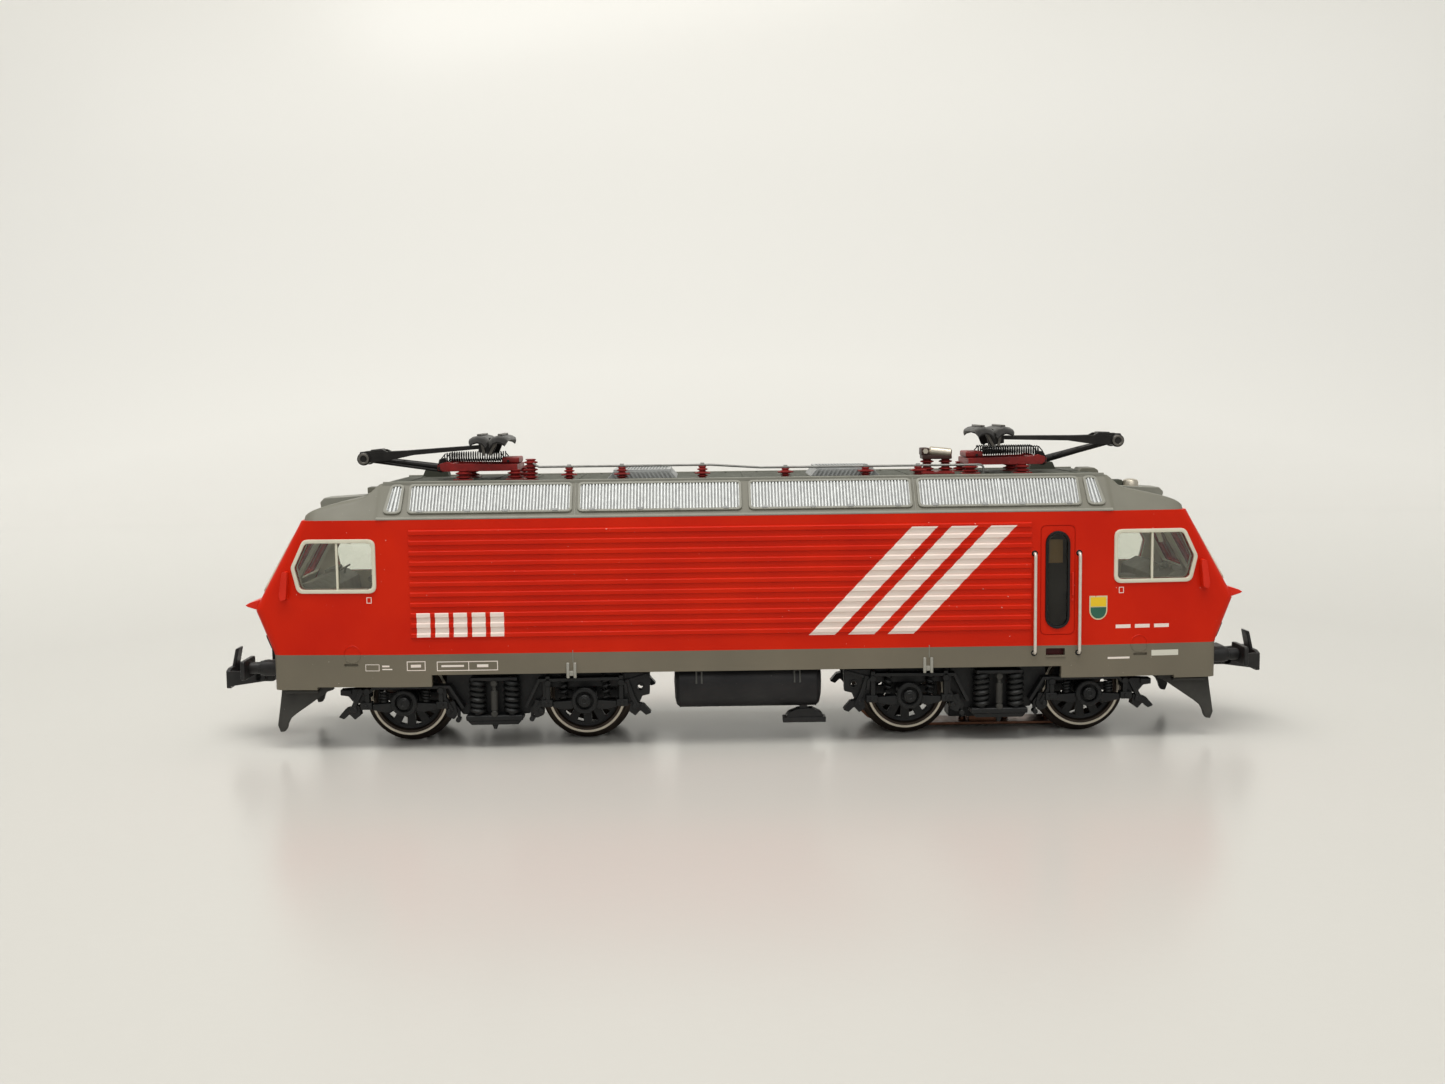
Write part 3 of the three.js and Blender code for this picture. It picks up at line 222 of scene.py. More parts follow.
def lathe(profile, at=(0, 0, 0), axis="z", sides=32):
    """A profile of (radius, distance) turned about an axis; a profile off the axis closes on itself."""
    bm = bmesh.new()
    turn = {
        "x": lambda u, v, h: (h, u, v), "y": lambda u, v, h: (u, h, v), "z": lambda u, v, h: (u, v, h)
    }[axis]
    rings = []
    for r, h in profile:
        count = sides if r > 1e-6 else 1
        angles = [2 * math.pi * k / sides for k in range(count)]
        rings.append(
            [bm.verts.new(Vector(turn(r * math.cos(a), r * math.sin(a), h)) + Vector(at)) for a in angles]
        )
    pairs = list(zip(rings, rings[1:]))
    if profile[0][0] > 1e-6:
        pairs.append((rings[-1], rings[0]))
    for low, high in pairs:
        for k in range(sides):
            corners = [
                low[k % len(low)], low[(k + 1) % len(low)], high[(k + 1) % len(high)], high[k % len(high)]
            ]
            unique = list(dict.fromkeys(corners))
            if len(unique) > 2:
                bm.faces.new(unique)
    bmesh.ops.recalc_face_normals(bm, faces=bm.faces)
    return bm


def disc(r, h0, h1, at=(0, 0, 0), axis="y", sides=32, soft=0.0):
    low, high = min(h0, h1), max(h0, h1)
    if not soft:
        return lathe([(0, low), (r, low), (r, high), (0, high)], at, axis, sides)
    profile = [(0, low), (r - soft, low), (r, low + soft), (r, high - soft), (r - soft, high), (0, high)]
    return lathe(profile, at, axis, sides)


def washer(r0, r1, h0, h1, at=(0, 0, 0), axis="y", sides=40, soft=0.06):
    low, high = min(h0, h1), max(h0, h1)
    profile = [
        (r0 + soft, low), (r1 - soft, low), (r1, low + soft), (r1, high - soft),
        (r1 - soft, high), (r0 + soft, high), (r0, high - soft), (r0, low + soft),
    ]
    return lathe(profile, at, axis, sides)


def tube(points, radius, sides=8, closed=False):
    """A round wire along a line of points; radius may be one per point."""
    points = [Vector(p) for p in points]
    n = len(points)
    radii = radius if isinstance(radius, (list, tuple)) else [radius] * n
    tangents = []
    for i in range(n):
        before = points[i - 1] if (i or closed) else points[0]
        after = points[(i + 1) % n] if (i + 1 < n or closed) else points[-1]
        tangents.append((after - before).normalized())
    normal = tangents[0].orthogonal().normalized()
    rings = []
    for p, t, r in zip(points, tangents, radii):
        normal = (normal - t * normal.dot(t)).normalized()
        side = t.cross(normal)
        turn = [2 * math.pi * k / sides for k in range(sides)]
        rings.append([p + (normal * math.cos(a) + side * math.sin(a)) * r for a in turn])
    return loft(rings, closed)


def helix(start, end, radius, turns, per_turn=14, lead=0.0):
    """Points of a coil about the line from start to end."""
    start, end = Vector(start), Vector(end)
    axis = (end - start).normalized()
    u = axis.orthogonal().normalized()
    v = axis.cross(u)
    count = int(turns * per_turn)
    made = []
    for k in range(count + 1):
        a = 2 * math.pi * k / per_turn + lead
        made.append(start.lerp(end, k / count) + (u * math.cos(a) + v * math.sin(a)) * radius)
    return made


def join(*parts):
    whole = bmesh.new()
    for part in parts:
        mesh = bpy.data.meshes.new("part")
        part.to_mesh(mesh)
        part.free()
        whole.from_mesh(mesh)
        bpy.data.meshes.remove(mesh)
    return whole


def moved(bm, x=0.0, y=0.0, z=0.0):
    bmesh.ops.translate(bm, vec=(x, y, z), verts=bm.verts)
    return bm


def turned(bm, degrees, axis="Y", at=(0, 0, 0)):
    rotation = Matrix.Rotation(math.radians(degrees), 3, axis)
    bmesh.ops.rotate(bm, cent=at, matrix=rotation, verts=bm.verts)
    return bm


def mirrored(bm, axis="y"):
    bmesh.ops.scale(bm, vec=(-1 if axis == "x" else 1, -1 if axis == "y" else 1, 1), verts=bm.verts)
    bmesh.ops.reverse_faces(bm, faces=bm.faces)
    return bm


def with_mirror(bm, axis="y"):
    return join(bm.copy(), mirrored(bm, axis))


def turned_round(bm):
    return turned(bm, 180, "Z")


def with_turned(bm):
    return join(bm.copy(), turned_round(bm))


def tint(bm, index):
    for face in bm.faces:
        face.material_index = index
    return bm


def loose_object(name, bm):
    mesh = bpy.data.meshes.new(name)
    bm.to_mesh(mesh)
    bm.free()
    obj = bpy.data.objects.new(name, mesh)
    bpy.context.scene.collection.objects.link(obj)
    return obj


def carve(base, *tools):
    """base with the tools cut out of it."""
    target = loose_object("carved", base)
    cutter = loose_object("cutter", join(*tools))
    step = target.modifiers.new("cut", "BOOLEAN")
    step.operation, step.solver, step.object = "DIFFERENCE", "EXACT", cutter
    graph = bpy.context.evaluated_depsgraph_get()
    mesh = bpy.data.meshes.new_from_object(target.evaluated_get(graph))
    made = bmesh.new()
    made.from_mesh(mesh)
    for leftover in (target, cutter):
        data = leftover.data
        bpy.data.objects.remove(leftover)
        bpy.data.meshes.remove(data)
    bpy.data.meshes.remove(mesh)
    return made


def piece(name, bm, finish, body, stands_for=(), smooth=34):
    """Turns a solid into a finished piece that rides on a body and stands for CAD nodes."""
    moved(bm, 0, 0, RAIL)
    bmesh.ops.scale(bm, vec=(MM, MM, MM), verts=bm.verts)
    obj = loose_object(name, bm)
    for one in finish if isinstance(finish, (list, tuple)) else [finish]:
        obj.data.materials.append(one)
    obj.data.shade_smooth()
    obj.data.set_sharp_from_angle(angle=math.radians(smooth))
    normals = obj.modifiers.new("normals", "WEIGHTED_NORMAL")
    normals.keep_sharp = True
    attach(obj, body)
    if stands_for:
        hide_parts(*([stands_for] if isinstance(stands_for, str) else stands_for))
    return obj


# ------------------------------------------------------------------ finishes


def srgb(r, g, b):
    linear = [
        c / 12.92 if c <= 0.04045 else ((c + 0.055) / 1.055) ** 2.4 for c in (r / 255, g / 255, b / 255)
    ]
    return (*linear, 1.0)


def shaded(colour, factor):
    return tuple(min(1.0, c * factor) for c in colour[:3]) + (1.0,)


class Shader:
    """A small node tree round one Principled BSDF."""

    def __init__(self, name):
        self.material = bpy.data.materials.new(name)
        self.material.use_nodes = True
        self.tree = self.material.node_tree
        self.bsdf = self.tree.nodes["Principled BSDF"]
        self.where = self.tree.nodes.new("ShaderNodeTexCoord").outputs["Object"]

    def link(self, value, socket):
        if isinstance(value, bpy.types.NodeSocket):
            self.tree.links.new(value, socket)
        else:
            socket.default_value = value

    def set(self, name, value):
        self.link(value, self.bsdf.inputs[name])

    def maths(self, operation, *values):
        node = self.tree.nodes.new("ShaderNodeMath")
        node.operation = operation
        for value, socket in zip(values, node.inputs):
            self.link(value, socket)
        return node.outputs[0]

    def noise(self, size, detail=3.0, stretch=(1, 1, 1)):
        """Noise whose features are about size millimetres across."""
        node = self.tree.nodes.new("ShaderNodeTexNoise")
        spread = self.tree.nodes.new("ShaderNodeMapping")
        self.link(self.where, spread.inputs["Vector"])
        spread.inputs["Scale"].default_value = stretch
        self.link(spread.outputs["Vector"], node.inputs["Vector"])
        node.inputs["Scale"].default_value = 1 / (size * MM)
        node.inputs["Detail"].default_value = detail
        return node.outputs["Fac"]

    def span(self, value, low, high, from_low=0.3, from_high=0.7):
        node = self.tree.nodes.new("ShaderNodeMapRange")
        for name, v in (("From Min", from_low), ("From Max", from_high), ("To Min", low), ("To Max", high)):
            node.inputs[name].default_value = v
        self.link(value, node.inputs["Value"])
        return node.outputs["Result"]

    def mix(self, share, a, b):
        node = self.tree.nodes.new("ShaderNodeMix")
        node.data_type = "RGBA"
        for value, socket in ((share, node.inputs[0]), (a, node.inputs[6]), (b, node.inputs[7])):
            self.link(value, socket)
        return node.outputs[2]

    def bump(self, height, depth, strength=1.0):
        """depth in millimetres."""
        node = self.tree.nodes.new("ShaderNodeBump")
        node.inputs["Strength"].default_value = strength
        node.inputs["Distance"].default_value = depth * MM
        self.link(height, node.inputs["Height"])
        self.set("Normal", node.outputs["Normal"])


def finish(
    name, colour, rough=0.5, metal=0.0, shade=0.12, patch=3.0, grain=0.3, depth=0.01, dust=0.0, coat=0.0,
    stretch=(1, 1, 1),
):
    """A surface with uneven tone, uneven gloss, fine grain and a little pale dust."""
    s = Shader(name)
    tone = s.span(s.noise(patch, 4.0, stretch), 0.0, 1.0)
    colour_out = s.mix(tone, shaded(colour, 1 - shade), shaded(colour, 1 + shade))
    if dust:
        fleck = s.maths("GREATER_THAN", s.noise(0.35, 1.0), 0.79 - dust * 0.06)
        film = s.span(s.noise(6.0, 5.0), 0.0, dust * 0.12)
        colour_out = s.mix(film, colour_out, srgb(190, 186, 174))
        colour_out = s.mix(s.maths("MULTIPLY", fleck, 0.5 * dust), colour_out, srgb(214, 210, 200))
    s.set("Base Color", colour_out)
    s.set("Metallic", metal)
    s.set("Specular IOR Level", 0.3)
    s.set("Roughness", s.span(s.noise(patch * 0.6, 3.0, stretch), rough * 0.85, min(1.0, rough * 1.15)))
    s.set("Coat Weight", coat)
    s.set("Coat Roughness", 0.15)
    s.bump(s.noise(grain, 2.0, stretch), depth)
    return s.material


def glass(name, tint_colour, clear=0.9, ior=1.5):
    """Thin clear plastic: see-through, with a sharp reflection at a glancing angle."""
    s = Shader(name)
    nodes = s.tree.nodes
    through, mirror, blend = (
        nodes.new(f"ShaderNode{n}") for n in ("BsdfTransparent", "BsdfGlossy", "MixShader")
    )
    through.inputs["Color"].default_value = shaded(tint_colour, clear)
    s.link(s.span(s.noise(5.0), 0.02, 0.06), mirror.inputs["Roughness"])
    fresnel = nodes.new("ShaderNodeFresnel")
    fresnel.inputs["IOR"].default_value = ior
    haze = s.span(s.noise(9.0, 4.0), 0.0, 0.015)
    s.link(s.maths("ADD", fresnel.outputs[0], haze), blend.inputs[0])
    s.link(through.outputs[0], blend.inputs[1])
    s.link(mirror.outputs[0], blend.inputs[2])
    s.link(blend.outputs[0], nodes["Material Output"].inputs["Surface"])
    nodes.remove(s.bsdf)
    return s.material


def wall_position(s):
    """Places on the body wall: the distance along it as read from outside, the height over the rail
    head, and 1 on a side wall, 0 on the nose."""
    split = s.tree.nodes.new("ShaderNodeSeparateXYZ")
    s.link(s.where, split.inputs[0])
    x, y, z = split.outputs
    height = s.maths("SUBTRACT", s.maths("DIVIDE", z, MM), RAIL)
    # each side is read from its own viewpoint, so the far side's marks run the other way
    reading = s.maths("DIVIDE", s.maths("MULTIPLY", x, s.maths("SIGN", s.maths("MULTIPLY", y, -1.0))), MM)
    on_wall = s.maths("GREATER_THAN", s.maths("ABSOLUTE", y), 14.8 * MM)
    return reading, height, on_wall


def printed_marks(s, reading, height):
    """Masks of the white bars, blocks and outlines and of the pale plate."""
    def patch(x0, x1, z0, z1, lean=0.0):
        across_it = s.maths("MULTIPLY_ADD", s.maths("SUBTRACT", height, z0), -lean, reading)
        in_x = s.maths("COMPARE", across_it, (x0 + x1) / 2, (x1 - x0) / 2)
        return s.maths("MULTIPLY", in_x, s.maths("COMPARE", height, (z0 + z1) / 2, (z1 - z0) / 2))

    def outline(x0, x1, z0, z1, line=0.14):
        return s.maths("SUBTRACT", patch(x0, x1, z0, z1), patch(x0 + line, x1 - line, z0 + line, z1 - line))

    marks = [patch(11.0 + i * 7.0, 15.6 + i * 7.0, 18.7, 37.8, 0.96) for i in range(3)]
    marks += [patch(-58.3 + i * 3.25, -55.9 + i * 3.25, 19.3, 23.6) for i in range(5)]
    marks += [patch(65.7 + i * 3.5, 68.4 + i * 3.5, 19.1, 19.75) for i in range(3)]
    marks += [
        outline(-60.3, -57.0, 13.3, 15.0), outline(-55.0, -49.3, 13.2, 14.9),
        outline(-49.44, -44.2, 13.2, 14.9),
    ]
    marks += [
        patch(-59.6, -57.8, 13.9, 14.4), patch(-54.2, -50.2, 13.9, 14.25), patch(-47.9, -45.9, 13.8, 14.3)
    ]
    marks += [
        outline(-67.7, -65.2, 13.3, 14.5, 0.1), patch(-64.7, -63.4, 14.0, 14.3),
        patch(-64.7, -62.9, 13.5, 13.7),
    ]
    marks += [
        patch(64.3, 68.3, 13.6, 13.95), outline(66.2, 67.1, 25.4, 26.5, 0.12),
        outline(-67.1, -66.2, 25.4, 26.5, 0.12),
    ]
    white = marks[0]
    for mark in marks[1:]:
        white = s.maths("MAXIMUM", white, mark)
    return white, patch(72.3, 77.2, 14.0, 15.0)


def body_paint():
    """Red enamel over a warm grey band, with plain printed marks on both sides."""
    s = Shader("body_paint")
    reading, height, on_wall = wall_position(s)
    white, plate = (s.maths("MULTIPLY", mask, on_wall) for mask in printed_marks(s, reading, height))
    tone = s.span(s.noise(14.0, 3.0), 0.0, 1.0)
    red = s.mix(tone, srgb(192, 26, 0), srgb(204, 34, 1))
    grey = s.mix(tone, srgb(108, 102, 88), srgb(116, 109, 94))
    is_red = s.maths("GREATER_THAN", height, PAINT_LINE)
    colour = s.mix(is_red, grey, red)
    print_tone = s.mix(
        s.span(s.noise(0.8, 4.0, (0.2, 1, 3)), 0.0, 0.3), srgb(238, 230, 220), srgb(222, 190, 178)
    )
    colour = s.mix(s.maths("MULTIPLY", white, 0.93), colour, print_tone)
    colour = s.mix(plate, colour, srgb(206, 204, 190))
    fleck = s.maths("GREATER_THAN", s.noise(0.5, 1.0), 0.8)
    colour = s.mix(s.maths("MULTIPLY", fleck, 0.4), colour, srgb(225, 215, 205))
    s.set("Base Color", colour)
    s.set("Roughness", s.span(s.noise(5.0, 4.0), 0.36, 0.46))
    s.set("Specular IOR Level", 0.15)
    s.bump(s.noise(0.35, 2.0), 0.004)
    return s.material


RED_GREY = body_paint()
RED = finish("red_enamel", srgb(206, 34, 8), 0.38, shade=0.05, depth=0.004)
GREY = finish("grey_enamel", srgb(108, 106, 94), 0.46, shade=0.05, patch=8.0, depth=0.006, dust=0.25)
LIGHT_GREY = finish("light_grey_enamel", srgb(128, 127, 117), 0.44, shade=0.05, depth=0.006, dust=0.3)
# Deck grey darkened to stand for shade on the walkway and the dark end box: painted shade, with a little real
# dust.
DECK_PAINTED_SHADE = finish("deck_grey_painted_shade", srgb(66, 68, 58), 0.65, shade=0.12, depth=0.02, dust=0.2)
LOUVRE = finish(
    "louvre_silver", srgb(172, 174, 173), 0.42, 0.35, shade=0.08, patch=1.2, depth=0.01, dust=0.4
)
SHADE_GREY = finish("louvre_backing", srgb(146, 147, 145), 0.55, shade=0.15, patch=1.5, depth=0.01)
WINDOW_FRAME = finish("window_frame", srgb(208, 204, 184), 0.45, shade=0.05, depth=0.005, dust=0.2)
BLACK = finish("black_plastic", srgb(22, 22, 23), 0.42, shade=0.25, patch=1.5, depth=0.012, dust=0.25)
DEEP_BLACK = finish("bogie_black", srgb(13, 14, 15), 0.42, shade=0.3, patch=1.2, depth=0.015, dust=0.12)
GASKET = finish("gasket_rubber", srgb(10, 10, 10), 0.22, shade=0.2, depth=0.006)
PLOUGH = finish("plough_grey", srgb(46, 45, 42), 0.55, shade=0.1, depth=0.01, dust=0.3)
TANK = finish("tank_black", srgb(26, 25, 27), 0.42, shade=0.15, patch=6.0, depth=0.008, dust=0.15)
STRAP = finish("tank_strap", srgb(92, 92, 88), 0.4, shade=0.1, depth=0.006)
STEEL = finish("bright_steel", srgb(196, 188, 172), 0.32, 0.85, shade=0.08, patch=0.8, depth=0.008)
WIRE = finish("white_wire", srgb(214, 206, 194), 0.34, 0.45, shade=0.06, patch=1.0, depth=0.006)
TREAD = finish("blackened_tread", srgb(58, 50, 44), 0.35, 0.75, shade=0.25, patch=1.5, depth=0.01)
ARM = finish("pantograph_black", srgb(28, 26, 25), 0.36, 0.3, shade=0.3, patch=1.5, depth=0.01, dust=0.15)
COIL = finish("spring_wire", srgb(26, 25, 24), 0.45, 0.1, shade=0.2, patch=0.5, depth=0.005)
EYE = finish("worn_eye", srgb(104, 100, 94), 0.38, 0.7, shade=0.2, patch=0.6, depth=0.01)
INSULATOR = finish("insulator_red", srgb(126, 18, 16), 0.42, shade=0.2, patch=1.2, depth=0.01, dust=0.25)
BROWN = finish("breaker_brown", srgb(62, 40, 34), 0.45, shade=0.2, patch=1.0, depth=0.01)
GREY_WIRE = finish("grey_wire", srgb(120, 120, 116), 0.4, 0.5, shade=0.15, patch=1.0, depth=0.006)
COPPER = finish("copper_shoe", srgb(112, 78, 60), 0.36, 0.85, shade=0.25, patch=2.0, depth=0.012)
CAST = finish("blackened_casting", srgb(62, 62, 61), 0.5, 0.6, shade=0.12, patch=2.0, grain=0.2, depth=0.02)
# The cab walls and desk are painted far lighter than their own grey: painted light, for the light that hardly
# reaches inside the cab.
CAB = finish("cab_grey_painted_light", srgb(240, 234, 214), 0.6, shade=0.08, patch=3.0, depth=0.01)
CAB_DARK = finish("cab_desk_painted_light", srgb(160, 156, 142), 0.55, shade=0.12, patch=2.0, depth=0.01)
TAN = finish("tan_panel", srgb(176, 150, 104), 0.6, shade=0.1, depth=0.006)
NYLON = finish("nylon", srgb(214, 206, 186), 0.45, shade=0.06, patch=1.0, depth=0.01)
BOARD = finish("circuit_board", srgb(30, 86, 50), 0.45, shade=0.3, patch=2.5, depth=0.01)
MAGNET = finish("magnet_dark", srgb(64, 62, 60), 0.5, 0.6, shade=0.15, patch=1.0, depth=0.02)
WINDING = finish(
    "winding", srgb(168, 92, 52), 0.35, 0.8, shade=0.25, patch=0.6, grain=0.15, depth=0.03,
    stretch=(1, 0.2, 1),
)
TYRE = finish("traction_tyre", srgb(24, 23, 22), 0.8, shade=0.2, patch=0.8, depth=0.02)
SCREW = finish("screw_steel", srgb(170, 168, 162), 0.35, 0.9, shade=0.1, patch=0.8, depth=0.01)
DARK_RED = finish("dark_red", srgb(70, 10, 10), 0.5, shade=0.1, depth=0.005)
CLEAR = glass("clear_pane", (0.95, 0.96, 0.93, 1), 1.0)
SMOKED = glass("smoked_pane", (0.72, 0.7, 0.64, 1), 1.0, 1.28)
LENS = finish("lamp_lens", srgb(226, 226, 216), 0.12, shade=0.04, depth=0.004, coat=1.0)
CLIP = finish("clear_clip", srgb(146, 144, 134), 0.2, shade=0.08, depth=0.006, coat=0.6)
YELLOW = finish("badge_yellow", srgb(228, 190, 40), 0.4, shade=0.05, depth=0.003)
GREEN = finish("badge_green", srgb(46, 96, 78), 0.4, shade=0.08, depth=0.003)
PALE = finish("badge_edge", srgb(206, 196, 160), 0.4, shade=0.05, depth=0.003)


# ------------------------------------------------------------------ body


def plan_section(z, inset, radius):
    """The body's outline at one height, with rounded nose corners."""
    xe = end_x(z) - inset
    corner = half_width(xe) - inset
    side = HALF_WIDTH - inset
    right = [(TAPER_X, -side), (xe, -corner), (xe, corner), (TAPER_X, side)]
    points = right + [(-x, -y) for x, y in right]
    rounded = fillet(points, [0, radius, radius, 0] * 2, 5)
    return [(p.x, p.y, z) for p in rounded]


WINDOW_OPENING = [(65.95, 27.9), (78.9, 27.9), (79.8, 31.8), (77.7, 36.1), (65.95, 36.1)]
WINDOW_OUTER = [(65.25, 27.2), (79.4, 27.2), (80.5, 31.8), (78.1, 36.8), (65.25, 36.8)]
WINDSCREEN = [(0.9, 28.0), (13.4, 28.0), (12.9, 37.2), (0.9, 37.2)]
DOOR_WINDOW = (53.0, 57.4, 19.2, 36.7)
RAIL_XS = (51.1, 59.0)
RAIL_ZS = (14.9, 32.7)


def wall_cut(outline, depth=3.0):
    """A tool that cuts an outline into the near wall."""
    return prism(outline, -depth, 2.0, on_side)


def body_shell():
    outer = loft(
        [plan_section(z, 0.0, 2.0) for z in (NOSE_SKIRT, 15.9, 16.5, 20.2, 24.0, 24.6, 32.0, BODY_TOP)]
    )
    hollow = loft([plan_section(z, 1.2, 1.0) for z in (5.0, 16.2, 24.3, BODY_TOP + 4)])
    mid = box(-56, 56, -20, 20, 0, SKIRT)
    ends = with_mirror(box(50, 76.5, -20, 20, 0, END_SKIRT), "x")
    shell = carve(carve(carve(outer, hollow), mid), ends)
    holes = [
        wall_cut(fillet(WINDOW_OPENING, 0.9)), wall_cut(slot_outline(*DOOR_WINDOW)),
        wall_cut(rectangle(53.2, 56.6, 14.4, 15.7, 0.15)),
        wall_cut(rectangle(69.0, 71.5, 14.15, 14.6, 0.15), 0.35),
        ring(
            rectangle(52.1, 58.3, 18.1, 37.7, 1.1), rectangle(52.26, 58.14, 18.26, 37.54, 1.0), -0.18,
            1.0, on_side,
        ),
    ]
    holes += [disc(0.55, -20, -14, (x, 0, z), "y", 16) for x in RAIL_XS for z in RAIL_ZS]
    left_window = mirrored(wall_cut(fillet(WINDOW_OPENING, 0.9)), "x")
    left_slot = mirrored(wall_cut(rectangle(69.0, 71.5, 14.15, 14.6, 0.15), 0.35), "x")
    side = join(*holes, left_window, left_slot)
    pane = prism(fillet(WINDSCREEN, 0.8), -4.0, 3.0, on_nose)
    lamp = disc(1.25, 78, 92, (0, 11.0, 18.0), "x", 24)
    stem = disc(1.5, 78, 90, (0, 10.1, 13.05), "x", 20)
    coupler = box(80, 90, -6.2, 6.2, 8.0, 13.2)
    nose = join(with_mirror(pane), with_mirror(lamp), with_mirror(stem), coupler)
    return carve(shell, with_turned(side), with_turned(nose))


def side_ribs():
    """The eleven raised flutes along each side."""
    ribs = []
    for i in range(11):
        z = 37.85 - i * 1.83
        section = [
            (-16.8, z - 0.5), (-17.0, z - 0.48), (-17.28, z - 0.36), (-17.3, z + 0.28), (-17.2, z + 0.4),
            (-16.95, z + 0.5), (-16.8, z + 0.5),
        ]
        ribs.append(prism(section, -59.3, 50.5, along, 0.03))
    return with_turned(join(*ribs))


def window_frames():
    """The pale frames of both windows on one side, with their dividers."""
    outline = fillet(WINDOW_OUTER, 1.4, 5), fillet(WINDOW_OPENING, 0.9, 5)
    frame_ring = ring(*outline, -0.5, 0.3, on_side, 0.14)
    divider = prism(rectangle(71.98, 72.4, 27.9, 36.1), -0.5, 0.12, on_side, 0.08)
    right = join(frame_ring, divider)
    return with_turned(with_mirror(right, "x"))


def windscreen_frames():
    outer = fillet([(0.25, 27.3), (14.1, 27.3), (13.5, 37.9), (0.25, 37.9)], 1.3, 5)
    made = ring(outer, fillet(WINDSCREEN, 0.8, 5), -0.6, 0.3, on_nose, 0.12)
    wiper = tube([on_nose(2.4, 27.0, 0.5), on_nose(7.0, 31.5, 0.6), on_nose(8.2, 34.0, 0.5)], 0.12, 6)
    blade = tube([on_nose(6.4, 30.4, 0.35), on_nose(9.8, 36.2, 0.35)], 0.14, 6)
    return with_turned(with_mirror(made)), with_turned(with_mirror(join(wiper, blade)))


def cab_panes():
    side = prism(fillet(WINDOW_OPENING, 0.9), -0.5, -0.25, on_side)
    screen = prism(fillet(WINDSCREEN, 0.8), -0.8, -0.4, on_nose)
    return join(with_mirror(side), with_mirror(screen))


def body_trim():
    """Small red parts: nose ledge, grab mouldings beside the windows, door handles, rail sockets."""
    ledge = prism(
        [(86.4, 23.9), (88.9, 24.7), (89.3, 25.0), (88.6, 25.4), (86.2, 26.1)], -13.9, 13.9, across, 0.1
    )
    mirror_arm = prism(
        fillet(
            [(81.25, 26.3), (82.25, 26.0), (82.45, 27.0), (81.75, 31.1), (80.95, 31.3), (80.85, 30.4)],
            0.3, 3,
        ),
        -0.3, 1.35, on_side, 0.2,
    )
    handle = prism(rectangle(57.7, 58.05, 25.2, 29.3, 0.15), -0.1, 0.35, on_side, 0.06)
    keyhole = disc(0.22, -17.3, -16.8, (57.85, 0, 24.4), "y", 12)
    end = join(ledge, with_mirror(mirror_arm))
    return with_turned(join(end, handle, keyhole))


def skirt_details():
    """In the two-tone paint: the jacking-point rings and the lower lip of the step hole."""
    circle = [
        on_side(70 + 1.5 * math.cos(a), 16.3 + 1.5 * math.sin(a), 0.0)
        for a in (math.pi * k / 20 for k in range(40))
    ]
    jack = tube(circle, 0.09, 6, True)
    sill = prism(rectangle(53.15, 56.65, 14.1, 14.38, 0.1), -0.4, 0.16, on_side, 0.05)
    return with_turned(join(jack.copy(), mirrored(jack, "x"), sill))


def step_hollow():
    """The dark red pocket behind the step hole and the dark sockets round the handrail ends."""
    pocket = box(52.9, 56.9, -15.9, -15.5, 14.1, 16.0)
    sockets = [washer(0.3, 0.56, -17.02, -16.9, (x, 0, z), "y", 20, 0.02) for x in RAIL_XS for z in RAIL_ZS]
    return with_turned(join(tint(pocket, 0), tint(join(*sockets), 1)))


def badge():
    """A plain two-field shield."""
    def shield(grow):
        top, bottom, half = 25.0 + grow, 20.7 - grow, 1.62 + grow
        arc = [(half * math.cos(a), bottom + 1.7 + (1.7 + grow) * math.sin(a)) for a in
               (math.pi * (1 + k / 12) for k in range(13))]
        return [(62.5 + u, v) for u, v in [(half, top), (-half, top), *arc]]
    edge = tint(prism(shield(0.0), -0.1, 0.05, on_side), 0)
    upper = tint(prism([(61.1, 23.1), (63.9, 23.1), (63.9, 24.75), (61.1, 24.75)], 0.0, 0.08, on_side), 1)
    lower_outline = [(63.9, 22.95), (61.1, 22.95)] + [
        (62.5 + 1.4 * math.cos(a), 22.4 + 1.45 * math.sin(a))
        for a in (math.pi * (1 + k / 12) for k in range(13))
    ]
    lower = tint(prism(lower_outline, 0.0, 0.08, on_side), 2)
    return with_turned(join(edge, upper, lower))


def door_gasket():
    x0, x1, z0, z1 = DOOR_WINDOW
    outer, inner = slot_outline(x0, x1, z0, z1), slot_outline(x0 + 0.5, x1 - 0.5, z0 + 0.5, z1 - 0.5)
    return ring(outer, inner, -0.5, 0.28, on_side, 0.16)


def door_pane():
    x0, x1, z0, z1 = DOOR_WINDOW
    return prism(slot_outline(x0 + 0.4, x1 - 0.4, z0 + 0.4, z1 - 0.4), -0.4, -0.15, on_side)


def door_backing():
    """The dark moulding and the light panel seen through a door window."""
    x0, x1, z0, z1 = DOOR_WINDOW
    dark = box(x0 - 0.6, x1 + 0.6, -15.0, -14.6, z0 - 0.6, z1 + 0.6, 0.1)
    light = box(x0 + 1.0, x1 - 0.9, -15.4, -15.0, 30.8, 35.0, 0.1)
    return join(tint(dark, 0), tint(light, 1))


def door_handrails():
    z0, z1 = RAIL_ZS
    rails = [
        tube(
            fillet([(x, -16.0, z1), (x, -17.85, z1), (x, -17.85, z0), (x, -16.0, z0)], 0.6, 5, False),
            0.28, 12,
        )
        for x in RAIL_XS
    ]
    holder = box(RAIL_XS[0] - 0.6, RAIL_XS[1] + 0.6, -15.8, -15.3, z0 - 0.4, z0 + 0.4, 0.1)
    return join(*rails, holder)


def skirt_clips():
    """The clear body clips that show below the skirt, with the fine moulding line above each pair."""
    made = []
    for centre in (-31.2, 32.2):
        for x in (centre - 0.62, centre + 0.62):
            made.append(box(x - 0.27, x + 0.27, -17.3, -16.7, 11.6, 14.4, 0.14, 3))
        made.append(box(centre - 0.4, centre + 0.4, -17.15, -16.7, 12.0, 12.9, 0.1))
    return with_turned(join(*made))


def skirt_lines():
    lines = [box(x - 0.06, x + 0.06, -17.05, -16.9, 14.4, 16.6) for x in (-30.9, 32.4)]
    return with_turned(join(*lines))


